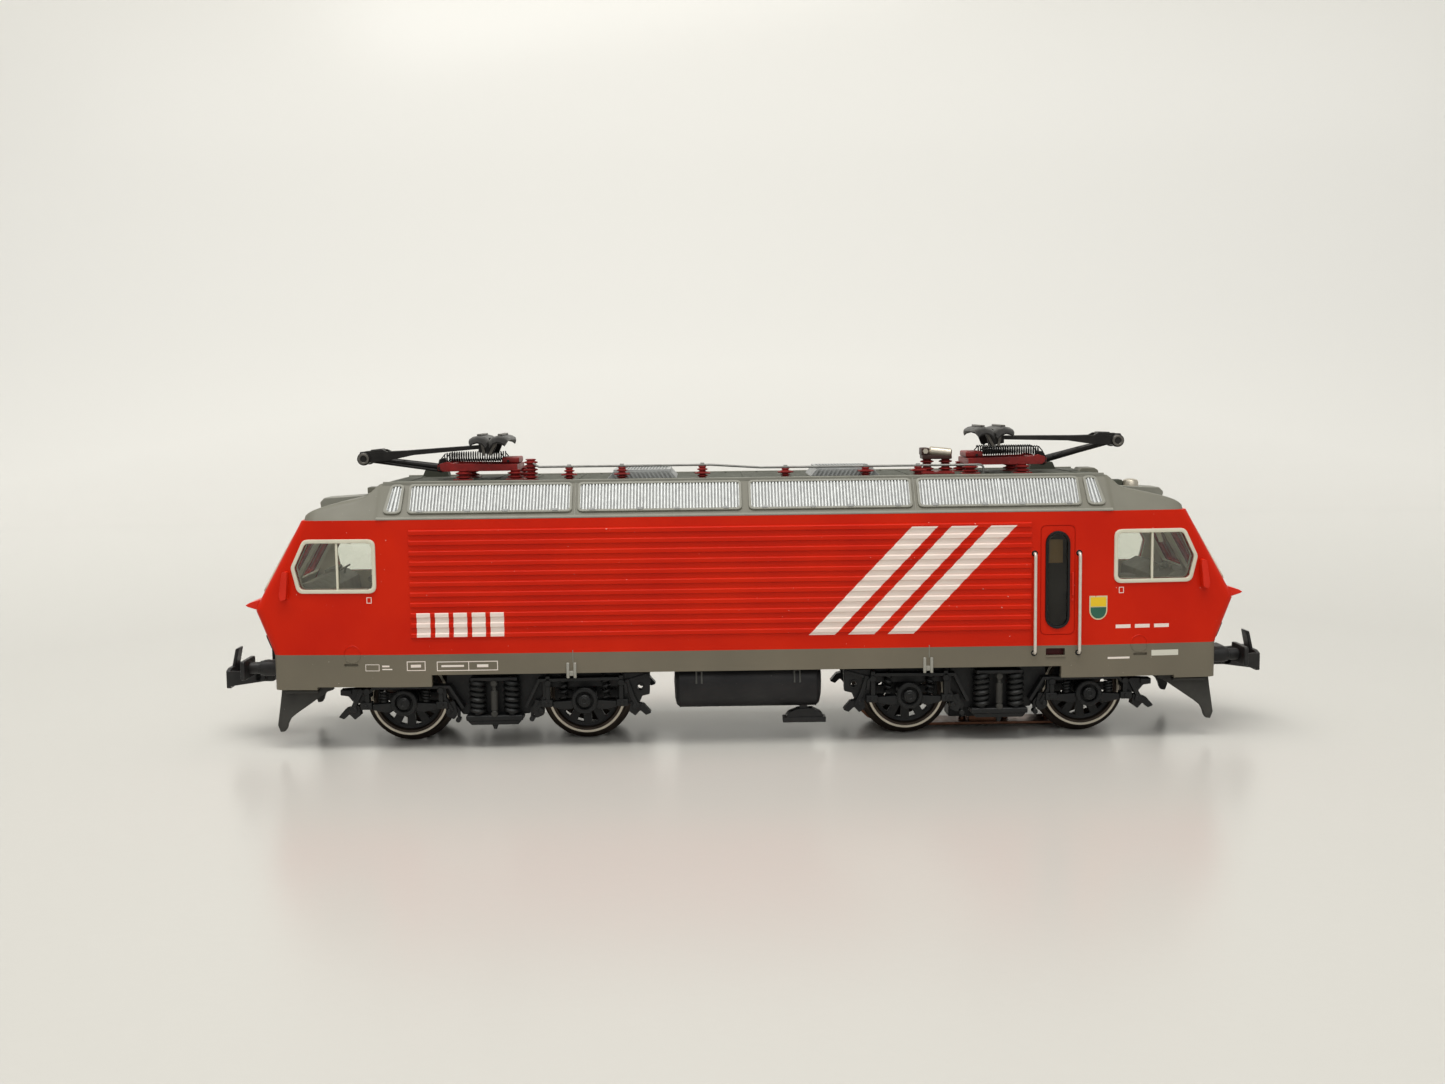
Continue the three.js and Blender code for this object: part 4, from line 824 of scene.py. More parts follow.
def lamp_boxes():
    """The dark lamp housings on the lower nose slope, and their lenses."""
    y, z = 11.0, 18.0
    bezel = ring(
        rectangle(y - 1.7, y + 1.7, z - 1.4, z + 1.4, 0.5),
        rectangle(y - 1.2, y + 1.2, z - 0.95, z + 0.95, 0.4), -0.5, 0.7, on_nose, 0.12,
    )
    lens = prism(rectangle(y - 1.15, y + 1.15, z - 0.9, z + 0.9, 0.35), -0.6, 0.35, on_nose, 0.15)
    guide = box(80.0, 84.0, y - 0.9, y + 0.9, z - 0.8, z + 0.8, 0.1)
    bar = box(80.0, 81.6, -12.2, 12.2, z - 0.8, z + 0.8, 0.15)
    return with_mirror(bezel), join(with_mirror(lens), with_mirror(guide), bar)


def cab_interior():
    floor = box(62, 80.5, -13.5, 13.5, 23.6, 24.6, 0.1)
    bulkhead = box(62, 63, -13.5, 13.5, 24.6, 38.5, 0.1)
    side_wall = carve(prism([(62.2, 24.6), (84.5, 24.6), (77.4, 39.6), (62.2, 39.6)], -2.2, -1.5, on_side),
                      prism(fillet(WINDOW_OPENING, 0.9), -4.0, 1.0, on_side))
    end_wall = carve(prism([(0.0, 25.0), (13.6, 25.0), (13.2, 39.4), (0.0, 39.4)], -2.4, -1.6, on_nose),
                     prism(fillet(WINDSCREEN, 0.8), -5.0, 1.0, on_nose))
    header = box(63, 77.0, -13.0, 13.0, 38.6, 39.6, 0.2)
    lining_post = prism([(73.6, 38.4), (74.6, 38.4), (76.3, 33.8), (75.6, 33.6)], -9.5, -8.9, across, 0.08)
    desk = prism(
        fillet([(74.5, 24.6), (80.4, 24.6), (80.0, 28.4), (77.6, 28.9), (74.9, 27.4)], 0.4, 3), -12.8,
        12.8, across, 0.12,
    )
    seat = box(68.4, 71.6, -8.8, -5.2, 26.6, 27.7, 0.35, 3)
    back = turned(box(67.7, 68.6, -8.6, -5.4, 27.4, 31.0, 0.35, 3), -6, "Y", (68, 0, 27.4))
    leg = disc(0.5, 24.6, 26.7, (70, -7, 0), "z", 12)
    handwheel = lathe([(1.1, 0.0), (1.25, 0.15), (1.1, 0.3), (0.95, 0.15)], (0, 0, 0), "z", 20)
    handwheel = moved(turned(handwheel, 30, "Y"), 76.2, -7, 29.2)
    column = tube([(76.4, -7, 28.2), (76.2, -7, 29.3)], 0.2, 8)
    gauges = [
        turned(box(77.5, 79.3, y, y + 1.6, 28.7, 29.5, 0.15), 10, "Y", (78, 0, 29))
        for y in (-10.5, -8.3, -5.0)
    ]
    # Index 0 takes the lightened cab wall paint and index 1 the lightened desk paint: painted light.
    light = join(floor, bulkhead, with_mirror(side_wall), with_mirror(end_wall), header, lining_post)
    dark = join(desk, seat, back, leg, handwheel, column, *gauges)
    return join(tint(light, 0), tint(dark, 1))


# ------------------------------------------------------------------ ends


def end_skirt():
    """Snow plough with its carrier bar."""
    blade = prism(
        fillet(
            [
                (83.3, 10.3), (83.75, 7.4), (84.35, 3.3), (83.95, 2.0), (83.2, 2.0), (82.9, 7.4),
                (82.3, 10.3),
            ],
            [0, 0, 0.3, 0.3, 0, 0, 0], 3,
        ),
        -13.8, 13.8, across, 0.1,
    )
    cheek = prism(
        [
            (74.2, 10.3), (74.2, 9.5), (75.2, 9.2), (81.0, 5.2), (82.0, 4.4), (82.5, 3.5), (82.75, 2.6),
            (83.1, 2.05), (83.9, 1.95), (84.35, 3.2), (83.7, 7.4), (83.3, 10.3),
        ],
        12.9, 13.9, across, 0.12,
    )
    notch = join(
        box(70, 90, -4.6, 4.6, 6.2, 13.4),
        prism([(-4.6, 6.3), (4.6, 6.3), (2.4, 5.0), (-2.4, 5.0)], 80, 88, along),
    )
    blade = carve(blade, notch)
    bar = carve(box(80.8, 82.2, -13, 13, 10.6, 14.6, 0.15), box(70, 90, -4.6, 4.6, 6, 13.4))
    hanger = box(80.8, 83.1, 5, 13, 9.4, 11.0, 0.15)
    step = box(76.6, 82.4, 13.6, 15.2, 9.2, 9.7, 0.12)
    return join(blade, with_mirror(cheek), bar, with_mirror(hanger), with_mirror(step))


def buffers():
    y, z = 10.1, 13.05
    base = box(84.3, 84.9, y - 1.9, y + 1.9, z - 1.9, z + 1.9, 0.15)
    bolts = [
        disc(0.3, 84.9, 85.15, (0, y + dy, z + dz), "x", 8) for dy in (-1.4, 1.4) for dz in (-1.4, 1.4)
    ]
    sleeve = lathe(
        [
            (0, 81.5), (1.3, 81.5), (1.45, 84.8), (1.5, 87.2), (1.35, 87.6), (1.3, 88.0), (1.1, 88.1),
            (1.05, 90.2), (0, 90.2),
        ],
        (0, y, z), "x", 24,
    )
    head_outline = fillet(
        [(y - 3.45, z - 1.75), (y + 3.45, z - 1.75), (y + 3.45, z + 1.75), (y - 3.45, z + 1.75)], 0.5, 4
    )
    head = prism(head_outline, 90.0, 90.8, along, 0.18)
    return with_mirror(join(base, *bolts, sleeve, head))


def drawbar(x0, z):
    """The coupler's shank and hook, pivoted at x0."""
    eye = washer(1.15, 2.2, z - 0.8, z + 0.8, (x0, 0, 0), "z", 28)
    bar = box(x0 + 1.6, x0 + 14.4, -1.1, 1.1, z - 0.8, z + 0.8, 0.25)
    collar = box(x0 + 10.2, x0 + 11.2, -1.35, 1.35, z - 1.0, z + 1.0, 0.15)
    head = box(x0 + 13.8, x0 + 17.2, -3.0, 3.0, z - 1.2, z + 1.2, 0.3)
    tower = prism(
        fillet(
            [(x0 + 14.2, z + 1.0), (x0 + 16.8, z + 1.0), (x0 + 16.4, z + 2.2), (x0 + 14.8, z + 1.9)], 0.3,
            3,
        ),
        -2.2, 2.2, across, 0.15,
    )
    hook = prism(
        fillet(
            [
                (x0 + 17.0, z - 1.0), (x0 + 19.8, z - 0.6), (x0 + 20.0, z + 1.6), (x0 + 19.0, z + 1.6),
                (x0 + 18.6, z + 0.4), (x0 + 17.0, z + 0.4),
            ],
            0.25, 3,
        ),
        -1.0, 1.0, across, 0.1,
    )
    trunnions = tube([(x0 + 16, -3.7, z), (x0 + 16, 3.7, z)], 0.5, 12)
    return join(eye, bar, collar, head, tower, hook, trunnions)


def bail(x0, z):
    """The swinging bail: two arms, a deep front plate and the leaning tongue."""
    reach, half = 6.1, 4.8
    arm = prism(
        fillet(
            [
                (x0 - 1.0, z - 0.8), (x0 + reach - 0.6, z - 1.7), (x0 + reach - 0.6, z + 1.2),
                (x0 + 1.2, z + 0.8), (x0 - 1.0, z + 0.8),
            ],
            0.3, 3,
        ),
        half - 0.9, half, across, 0.12,
    )
    boss = disc(0.85, half - 1.5, half, (x0, 0, z), "y", 16, 0.1)
    front = prism(
        fillet(
            [
                (-half, z - 2.1), (half, z - 2.1), (half, z + 1.2), (half - 1.4, z + 1.6),
                (-half + 1.4, z + 1.6), (-half, z + 1.2),
            ],
            0.35, 3,
        ),
        x0 + reach - 0.75, x0 + reach, along, 0.15,
    )
    tongue = prism(
        [
            (x0 + reach - 0.75, z + 1.2), (x0 + reach - 0.05, z + 1.2), (x0 + reach - 0.85, z + 4.8),
            (x0 + reach - 1.5, z + 4.9),
        ],
        -1.5, 1.5, across, 0.2,
    )
    foot = prism(
        [(x0 + reach - 1.9, z - 1.5), (x0 + reach - 0.5, z - 1.6), (x0 + reach - 0.5, z - 0.8)], -3.4,
        3.4, across, 0.08,
    )
    return join(with_mirror(arm), with_mirror(boss), front, tongue, foot)


# ------------------------------------------------------------------ roof


def roof_outline(half_base, half_top, top, radius):
    corners = [(-half_base, BODY_TOP), (-half_top, top), (half_top, top), (half_base, BODY_TOP)]
    return fillet(corners, [0, radius, radius, 0], 6)


def cab_roof_section(x, top, radius):
    slope = (ROOF_HALF_BASE - ROOF_HALF_TOP) / (ROOF_TOP - BODY_TOP)
    base = half_width(x) - 0.2
    start, run = 75.8, 2.6
    if x > start:
        t = min(1.0, (x - start) / run)
        base -= 2.6 * (1 - math.sqrt(max(0.0, 1 - t * t)))
    half_top = base - (top - BODY_TOP) * slope - 0.2
    return [(x, p.x, p.y) for p in roof_outline(base, half_top, top, radius)]


def roof_shell():
    main = [
        [(x, p.x, p.y) for p in roof_outline(ROOF_HALF_BASE, ROOF_HALF_TOP, ROOF_TOP, 0.5)]
        for x in (0.0, 64.3)
    ]
    shoulder = [
        cab_roof_section(x, top, r)
        for x, top, r in ((65.1, 46.2, 0.5), (65.6, 45.8, 0.7), (67.0, 44.4, 1.0), (67.8, 44.0, 1.5))
    ]
    cab = [
        cab_roof_section(x, top, r)
        for x, top, r in (
            (69.5, 43.65, 2.2), (72.0, 43.15, 2.4), (74.3, 42.6, 2.4), (75.8, 42.15, 2.2),
            (76.8, 41.75, 1.6), (77.6, 41.3, 1.1), (78.1, 40.9, 0.7), (78.4, 40.45, 0.25),
        )
    ]
    right = main[1:] + shoulder + cab
    left = [[(-x, y, z) for x, y, z in section] for section in reversed(right)]
    return loft(left + right)


def roof_fittings():
    """Parapets, gutter lips, joint lines and cab-roof fairings in roof grey."""
    parapet = prism(rectangle(-12.45, -11.75, 45.9, 46.62, 0.12, 3), 0.0, 64.4, along)
    lip = prism(
        [(-17.04, 40.12), (-17.0, 40.36), (-16.6, 40.6), (-16.2, 40.6), (-16.2, 40.12)], 0.0, 65.0, along,
        0.05,
    )
    joint = prism(rectangle(30.02, 30.14, 0.1, ROOF_SLOPE), 0.0, 0.12, flat_on_roof_slope)
    fairing = prism(
        fillet(
            [
                (67.6, 42.6), (76.6, 41.0), (78.0, 41.0), (78.2, 42.5), (77.4, 43.3), (70.2, 43.7),
                (67.6, 44.6),
            ],
            0.5, 4,
        ),
        -2.6, 2.6, across, 0.45, 3,
    )
    quarter = join(parapet, lip, joint)
    return join(with_turned(with_mirror(quarter)), with_turned(fairing))


VENT_LEAN = 0.9  # how much wider the end vents are at their feet


def on_leaning_slope(x0, x1, lean):
    """Placement on the roof slope with the field x0..x1 widening outward towards its foot by lean."""
    def place(u, v, w):
        outward = (u - x0) / (x1 - x0)
        return on_roof_slope(u + lean * (0.4 + outward) * (1 - v / ROOF_SLOPE), w, v)
    return place


def louvre_sheet(x0, x1, lean):
    """One field of upright silver bars over a backing."""
    place = on_leaning_slope(x0, x1, lean)

    def place_bar(u, v, w):
        return place(u, w, v)
    count = round((x1 - x0) / 0.58)
    step = (x1 - x0) / count
    bars = []
    for i in range(count):
        u = x0 + (i + 0.5) * step
        section = [(u - 0.2, 0.0), (u + 0.2, 0.0), (u + 0.13, 0.26), (u - 0.13, 0.26)]
        bars.append(prism(section, 1.55, 6.95, place_bar))
    backing = prism(rectangle(x0, x1, 1.5, 7.0), -0.1, 0.05, place)
    return join(tint(join(*bars), 0), tint(backing, 1))


def louvre_frame(x0, x1, lean=0.0):
    place = on_leaning_slope(x0, x1, lean)
    outer = rectangle(x0 - 0.15, x1 + 0.15, 1.15, 7.35, 0.9, 4)
    inner = rectangle(x0 + 0.3, x1 - 0.3, 1.6, 6.9, 0.6, 4)
    return ring(outer, inner, -0.1, 0.34, place, 0.08)


def roof_louvres():
    """Sheets, frames, dividers and the small hooks along the lower edges, for the near right-hand quarter."""
    fields = ((0.75, 29.5), (30.75, 59.5), (60.6, 62.7))
    sheets = [louvre_sheet(x0, x1, VENT_LEAN if x0 > 60 else 0.0) for x0, x1 in fields]
    sheets += [
        prism(rectangle(x - 0.16, x + 0.16, 1.5, 7.0), 0.0, 0.32, flat_on_roof_slope, 0.05)
        for x in (14.8, 45.3)
    ]
    hooks = [prism(rectangle(x - 0.5, x + 0.5, 1.35, 1.85), 0.2, 0.45, flat_on_roof_slope, 0.06)
             for x in (3.4, 12.0, 18.6, 27.0, 33.6, 42.4, 49.0, 57.4)]
    sheets.append(tint(join(*hooks), 1))
    frames = [louvre_frame(*fields[0]), louvre_frame(*fields[1]), louvre_frame(*fields[2], VENT_LEAN)]
    return join(*sheets), join(*frames)


def end_block():
    """The raised block on the roof shoulder behind one vent."""
    return prism(
        fillet([(62.4, 46.2), (66.3, 45.2), (66.0, 46.6), (65.3, 47.05), (62.9, 47.05)], 0.35, 4), -2.4,
        2.4, across, 0.3, 3,
    )


def roof_deck():
    """The walkway between the parapets, with its cross joints and bolt rows."""
    deck = box(-64.0, 64.0, -11.7, 11.7, 45.9, 46.42, 0.08)
    parts = [deck]
    parts += [
        box(x - 0.15, x + 0.15, -11.5, 11.5, 46.4, 46.52, 0.04)
        for x in (-60.6, -45.5, -30.05, 0.0, 30.05, 45.5, 60.6)
    ]
    hatches = [
        prism(
            [(x - 2.6 * k, 46.3), (x + 2.6 * k, 46.3), (x + 2.2 * k, 47.8), (x - 1.9 * k, 47.8)], 8.0,
            11.0, across, 0.12,
        )
        for x, k in ((-58.6, 1), (58.0, -1))
    ]
    ribs = [box(x - 0.1, x + 0.1, -8.1, 8.1, 46.4, 46.5) for x in (-52, -38, 38, 52)]
    bolts = [disc(0.22, 46.35, 46.56, (x, y, 0), "z", 8) for x in range(-57, 58, 6) for y in (-10.6, 10.6)]
    return join(*parts, *hatches, *ribs, *bolts)


def air_outlets():
    """The silver outlet boxes with their slatted lids."""
    body = prism([(12.0, 46.2), (25.0, 46.2), (23.6, 47.75), (13.4, 47.75)], -7.2, 7.2, across, 0.15)
    slats = []
    for i in range(17):
        x = 13.9 + i * 0.58
        slats.append(box(x - 0.12, x + 0.12, -6.7, 6.7, 47.7, 47.98, 0.05))
    slants = []
    for i in range(14):
        x = 12.9 + i * 0.78
        slants.append(prism(band([(x, 46.45), (x + 0.75, 47.6)], 0.13), -7.4, -7.1, across))
    rim = ring(
        rectangle(13.3, 23.7, -7.1, 7.1, 0.5), rectangle(13.75, 23.25, -6.65, 6.65, 0.3), 47.6, 48.02,
        upright, 0.06,
    )
    return with_turned(join(tint(body, 1), *slats, with_mirror(join(*slants)), rim))


def insulator_profile(bottom, top, r, sheds):
    """A ribbed insulator with a base flange and a cap."""
    profile = [(0, bottom), (r * 1.05, bottom), (r * 1.05, bottom + 0.22), (r * 0.6, bottom + 0.3)]
    height = top - bottom - 0.6
    for i in range(sheds):
        z = bottom + 0.35 + height * i / sheds
        profile += [
            (r * 0.6, z), (r, z + height * 0.3 / sheds), (r, z + height * 0.55 / sheds),
            (r * 0.6, z + height * 0.8 / sheds),
        ]
    profile += [
        (r * 0.62, top - 0.25), (r * 0.75, top - 0.2), (r * 0.75, top - 0.04), (r * 0.6, top), (0, top)
    ]
    return profile


LINE_Y, HIGH_WIRE, LOW_WIRE = -9.2, 48.8, 48.2


def line_posts():
    posts = [(x, HIGH_WIRE) for x in (-31.5, -22.0, -7.5)] + [(x, LOW_WIRE) for x in (7.5, 22.0, 31.5)]
    made = []
    for x, top in posts:
        made.append(lathe(insulator_profile(46.3, top - 0.2, 0.95, 3), (x, LINE_Y, 0), "z", 20))
        made.append(box(x - 1.4, x + 1.4, LINE_Y - 1.1, LINE_Y + 1.1, 47.25, 47.5, 0.08))
    tall = lathe(insulator_profile(46.3, 50.2, 1.25, 5), (-38.6, LINE_Y + 2.0, 0), "z", 24)
    return join(*made, tall)


def line_wire():
    points = [
        (-38.6, LINE_Y + 1.6, HIGH_WIRE + 0.9), (-37.0, LINE_Y, HIGH_WIRE), (-6.0, LINE_Y, HIGH_WIRE),
        (3.0, LINE_Y, LOW_WIRE), (43.4, LINE_Y, LOW_WIRE), (43.4, LINE_Y, 46.6),
    ]
    clamps = [
        disc(0.42, x - 0.35, x + 0.35, (0, LINE_Y, z), "x", 10)
        for x, z in (
            (-31.5, HIGH_WIRE), (-22.0, HIGH_WIRE), (-7.5, HIGH_WIRE), (7.5, LOW_WIRE), (22.0, LOW_WIRE),
            (31.5, LOW_WIRE),
        )
    ]
    return join(tube(fillet(points, 0.8, 4, False), 0.2, 10), *clamps)


def main_breaker():
    base = box(32.6, 38.8, -5.6, 1.2, 46.3, 46.8, 0.12)
    posts = [lathe(insulator_profile(46.7, 49.3, 1.25, 3), (x, -3.4, 0), "z", 24) for x in (34.0, 37.4)]
    housing = box(33.0, 38.4, -4.9, -1.0, 49.1, 49.9, 0.2)
    lid = box(32.8, 34.2, -4.8, -1.4, 49.8, 51.2, 0.2)
    drum = turned(disc(0.85, -2.2, 2.0, (36.4, -4.2, 50.4), "x", 24, 0.25), 6, "Y", (36.4, -4.2, 50.4))
    nut = moved(disc(0.5, -4.9, -4.4, (33.5, 0, 50.6), "y", 6), 0, -0.3)
    return join(tint(join(base, *posts), 0), tint(join(housing, lid), 1), tint(join(drum, nut), 2))


def roof_ends():
    """The raised block, small box and dome at the right end, and the box at the left end."""
    # The dark box takes the darkened deck grey: painted shade.
    dark = box(69.0, 70.9, -1.4, 1.4, 43.2, 44.7, 0.25)
    left = box(-69.6, -66.6, -1.6, 1.6, 43.4, 45.1, 0.2)
    dome = lathe(
        [(0, 43.2), (1.5, 43.2), (1.5, 44.2), (1.25, 44.65), (0.6, 44.85), (0, 44.9)], (72.4, -1.0, 0),
        "z", 28,
    )
    return join(tint(join(end_block(), left), 0), tint(dark, 1), tint(dome, 2))


# ------------------------------------------------------------------ underframe


def tank():
    """Two round tanks with domed ends, brackets and the flat box between them."""
    radius, centre, brim = 4.75, 9.6, box(-20, 20, -20, 20, 12.3, 20)
    profile = [(0, -13.35), (radius - 1.7, -13.2), (radius - 0.5, -12.9), (radius, -12.3),
               (radius, 12.3), (radius - 0.5, 12.9), (radius - 1.7, 13.2), (0, 13.35)]
    drum = carve(lathe(profile, (0.2, -10.4, centre), "x", 56), brim.copy())
    seams = [
        washer(radius - 0.1, radius + 0.07, x - 0.08, x + 0.08, (0, -10.4, centre), "x", 56, 0.03)
        for x in (-12.1, 12.5)
    ]
    seams = [carve(seam, brim.copy()) for seam in seams]
    brackets = []
    for x in (-8.6, 9.0):
        front, top = -10.4 - radius - 0.05, 12.0
        path = [
            (x - 0.48, front, 9.9), (x - 0.48, front + 0.5, top), (x + 0.48, front + 0.5, top),
            (x + 0.48, front, 9.9),
        ]
        brackets.append(tube(path, 0.17, 6))
    between = box(-13.0, 13.4, -7.0, 7.0, 4.9, 12.3, 0.3)
    half = join(tint(join(drum, *seams), 0), tint(join(*brackets), 1))
    return join(with_mirror(half), tint(between, 0))


def reed_magnet():
    stem = box(9.6, 11.0, -11.9, -10.3, 3.5, 5.6, 0.12)
    foot = prism(
        fillet([(6.8, 2.9), (14.1, 2.9), (13.4, 3.8), (11.9, 4.5), (9.4, 4.5), (7.6, 3.8)], 0.3, 4),
        -12.3, -9.9, across, 0.12,
    )
    base = box(6.5, 14.3, -12.5, -9.7, 2.0, 2.95, 0.12)
    return join(stem, foot, base)


def coil_spring(x, y, z0, z1, radius, wire, turns):
    return tube(helix((x, y, z0 + wire), (x, y, z1 - wire), radius - wire, turns, 16), wire, 7)


def axle_box(x, z):
    """The ring of bolts, dished cap and centre boss over one axle end."""
    bolts = []
    for k in range(12):
        a = math.radians(30 * k + 15)
        bolts.append(disc(0.17, -16.05, -15.7, (x + 1.92 * math.cos(a), 0, z + 1.92 * math.sin(a)), "y", 8))
    return [
        disc(2.2, -15.0, -12.6, (x, 0, z), "y", 40, 0.15),
        washer(1.5, 2.32, -15.9, -14.8, (x, 0, z), "y", 40, 0.16),
        disc(1.12, -16.4, -14.8, (x, 0, z), "y", 28, 0.2),
        washer(0.35, 0.7, -16.55, -16.2, (x, 0, z), "y", 16, 0.06),
        *bolts,
    ]


def spring_seat(x, side, top):
    """A seat beside the axle box with its primary spring, link and clamp; side is -1 or 1."""
    def u(d):
        return x + side * d

    seat = [(u(1.6), 7.3), (u(2.2), 5.7), (u(3.4), 5.5), (u(5.7), 6.0), (u(5.7), 7.0), (u(2.4), 7.2)]
    return [
        prism(seat, -15.3, -13.6, across, 0.15),
        coil_spring(u(3.75), -14.4, 6.9, top, 0.85, 0.24, 4.6),
        box(u(6.75) - 1.05, u(6.75) + 1.05, -15.7, -13.6, 6.1, 7.4, 0.2),
        box(u(6.55) - 0.4, u(6.55) + 0.4, -15.5, -14.2, 7.2, top - 0.2, 0.15),
        disc(0.62, -15.7, -14.0, (u(6.55), 0, min(10.4, top - 0.5)), "y", 16, 0.1),
        disc(0.36, -15.95, -15.5, (u(6.75), 0, 6.75), "y", 6, 0.05),
    ]


def inner_brake_gear(rail_top):
    """The brake hanger and block between the wheel and the bogie's middle."""
    hanger = band([(9.0, rail_top - 0.2), (9.0, 8.0), (7.6, 5.6)], 0.35)
    block = fillet([(7.2, 7.4), (8.9, 6.9), (8.7, 4.6), (7.3, 4.0), (6.7, 5.2)], 0.3, 3)
    return [
        prism(hanger, -15.2, -14.0, across, 0.1),
        prism(block, -14.9, -13.2, across, 0.12),
        disc(0.48, -15.4, -13.6, (8.3, 0, 5.5), "y", 12, 0.08),
        disc(0.48, -15.2, -13.6, (6.6, 0, 3.95), "y", 12, 0.08),
        prism(band([(6.6, 3.95), (6.5, 5.6), (7.6, 7.0)], 0.25), -14.6, -13.9, across, 0.06),
    ]


def end_brake_gear(x, rail_top):
    """The brake hanger and shoe beyond the wheel."""
    hanger = band([(x + 7.5, rail_top - 0.3), (x + 8.6, 7.6), (x + 9.6, 5.6)], 0.4)
    shoe = [(8.2, 6.8), (10.6, 6.2), (11.9, 4.7), (10.9, 4.3), (9.9, 5.2), (9.0, 4.2), (7.9, 5.0)]
    return [
        prism(hanger, -15.2, -13.8, across, 0.1),
        prism(fillet([(x + u, v) for u, v in shoe], 0.2, 3), -14.9, -13.0, across, 0.1),
        disc(0.5, -15.3, -13.4, (x + 8.9, 0, 6.0), "y", 12, 0.08),
    ]


def headstock():
    """The bracket at the bogie's outer end."""
    bracket = [(22.2, 9.8), (27.6, 9.6), (27.6, 8.6), (26.2, 8.4), (25.2, 7.2), (23.4, 7.0), (22.2, 8.2)]
    return [prism(bracket, -14.6, -12.6, across, 0.12), box(25.6, 27.2, -15.0, -13.0, 8.7, 9.6, 0.12)]


def gusset():
    """The pierced plate and strut at the bogie's inner end."""
    outline = [(22.6, 11.9), (27.8, 11.9), (27.7, 8.0), (26.4, 7.7), (25.8, 6.4), (24.2, 6.0), (22.6, 7.4)]
    hole = disc(0.5, -16, -11, (26.0, 0, 9.3), "y", 16)
    return [
        carve(prism(outline, -14.4, -12.6, across, 0.12), hole),
        washer(0.5, 0.8, -14.6, -14.2, (26.0, 0, 9.3), "y", 20, 0.05),
        prism(band([(22.8, 8.8), (24.0, 10.6), (27.4, 11.6)], 0.25), -14.8, -14.2, across, 0.06),
    ]


def bogie_half(outer):
    """Half of a bogie's near side frame, from its middle towards +X; outer is the end under the cab."""
    x, z = AXLE_X, AXLE_Z
    if outer:
        top, rail_top = 9.9, 10.0
        arch = [(5.6, 6.1), (8.0, 10.0), (21.4, 10.0), (22.6, 9.0)]
    else:
        top, rail_top = 11.9, 11.1
        arch = [(5.6, 6.1), (8.0, 10.95), (22.0, 11.1), (23.4, 10.0), (23.6, 8.4)]
    web = [(0, 4.2), (6.0, 4.6), (8.8, 8.4), (8.8, 12.0), (0, 12.0)]
    beam = [(8.4, 9.3), (22.0, 9.3), (22.6, top - 0.4), (22.0, top), (8.4, top)]
    parts = [prism(outline, -13.3, -12.3, across, 0.1) for outline in (web, beam)]
    parts.append(prism(band(arch, 0.28), -15.5, -13.0, across, 0.08))
    parts += axle_box(x, z) + spring_seat(x, -1, top) + spring_seat(x, 1, top)
    parts += inner_brake_gear(rail_top) + end_brake_gear(x, rail_top)
    parts += headstock() if outer else gusset()
    return join(*parts)


def bogie_middle():
    """The spring nest between the axles of one side."""
    parts = [coil_spring(x, -14.8, 4.6, 11.6, 1.55, 0.42, 6.2) for x in (-3.05, 3.05)]
    parts += [disc(0.8, 4.7, 11.6, (x, -14.8, 0), "z", 16) for x in (-3.05, 3.05)]
    parts.append(box(-4.2, 4.2, -15.9, -13.4, 11.0, 11.7, 0.25))
    damper = [
        disc(0.6, 5.6, 9.3, (0, -15.5, 0), "z", 16, 0.15), disc(0.35, 9.3, 10.4, (0, -15.5, 0), "z", 12)
    ]
    damper += [disc(0.6, -16.1, -15.0, (0, 0, z), "y", 16, 0.15) for z in (5.1, 10.6)]
    parts.append(box(-5.1, 5.1, -16.0, -12.4, 3.85, 4.85, 0.25, 3))
    parts.append(prism([(-4.9, 3.9), (4.9, 3.9), (4.2, 3.1), (-4.2, 3.1)], -15.7, -12.6, across, 0.15))
    parts.append(prism([(-0.6, 3.2), (0.6, 3.2), (0.25, 2.2), (-0.25, 2.2)], -15.2, -14.2, across, 0.12))
    return join(tint(join(*parts), 0), tint(join(*damper), 1))


def bogie_sides():
    """Both side frames of the right-hand bogie about its own middle, tied by cross beams."""
    near = join(bogie_half(True), mirrored(bogie_half(False), "x"), bogie_middle())
    beams = with_mirror(box(5.4, 7.2, -13, 13, 7.0, 8.4, 0.15), "x")
    return join(with_mirror(near), beams)


def wheel(tyred):
    """A far-side wheel at its own centre: flanged tyre, bright rim face and a twelve-spoke centre."""
    tread_r = 6.86 if tyred else 7.25
    tread = [(tread_r, 8.35), (tread_r, 9.88), (7.25, 9.88)] if tyred else [(7.25, 9.8)]
    tyre = lathe(
        [
            (5.9, 7.1), (8.1, 7.1), (8.42, 7.3), (8.42, 7.5), (8.1, 7.75), (7.5, 7.95), (7.25, 8.3),
            *tread, (7.1, 9.95), (6.2, 9.95), (5.9, 9.7),
        ],
        (0, 0, 0), "y", 72,
    )
    rim = washer(6.58, 7.04, 9.85, 10.02, (0, 0, 0), "y", 72, 0.05)
    hub = disc(2.0, 7.2, 9.9, (0, 0, 0), "y", 32, 0.2)
    web = lathe([(5.3, 8.3), (6.0, 8.1), (6.0, 9.4), (5.3, 9.2)], (0, 0, 0), "y", 48)
    spokes = []
    for k in range(12):
        spoke = prism([(-0.62, 1.6), (0.62, 1.6), (0.8, 5.6), (-0.8, 5.6)], 8.4, 9.3, across, 0.12)
        spokes.append(turned(spoke, 30 * k, "Y"))
    return join(tint(tyre, 0), tint(rim, 1), tint(join(hub, web, *spokes), 2))


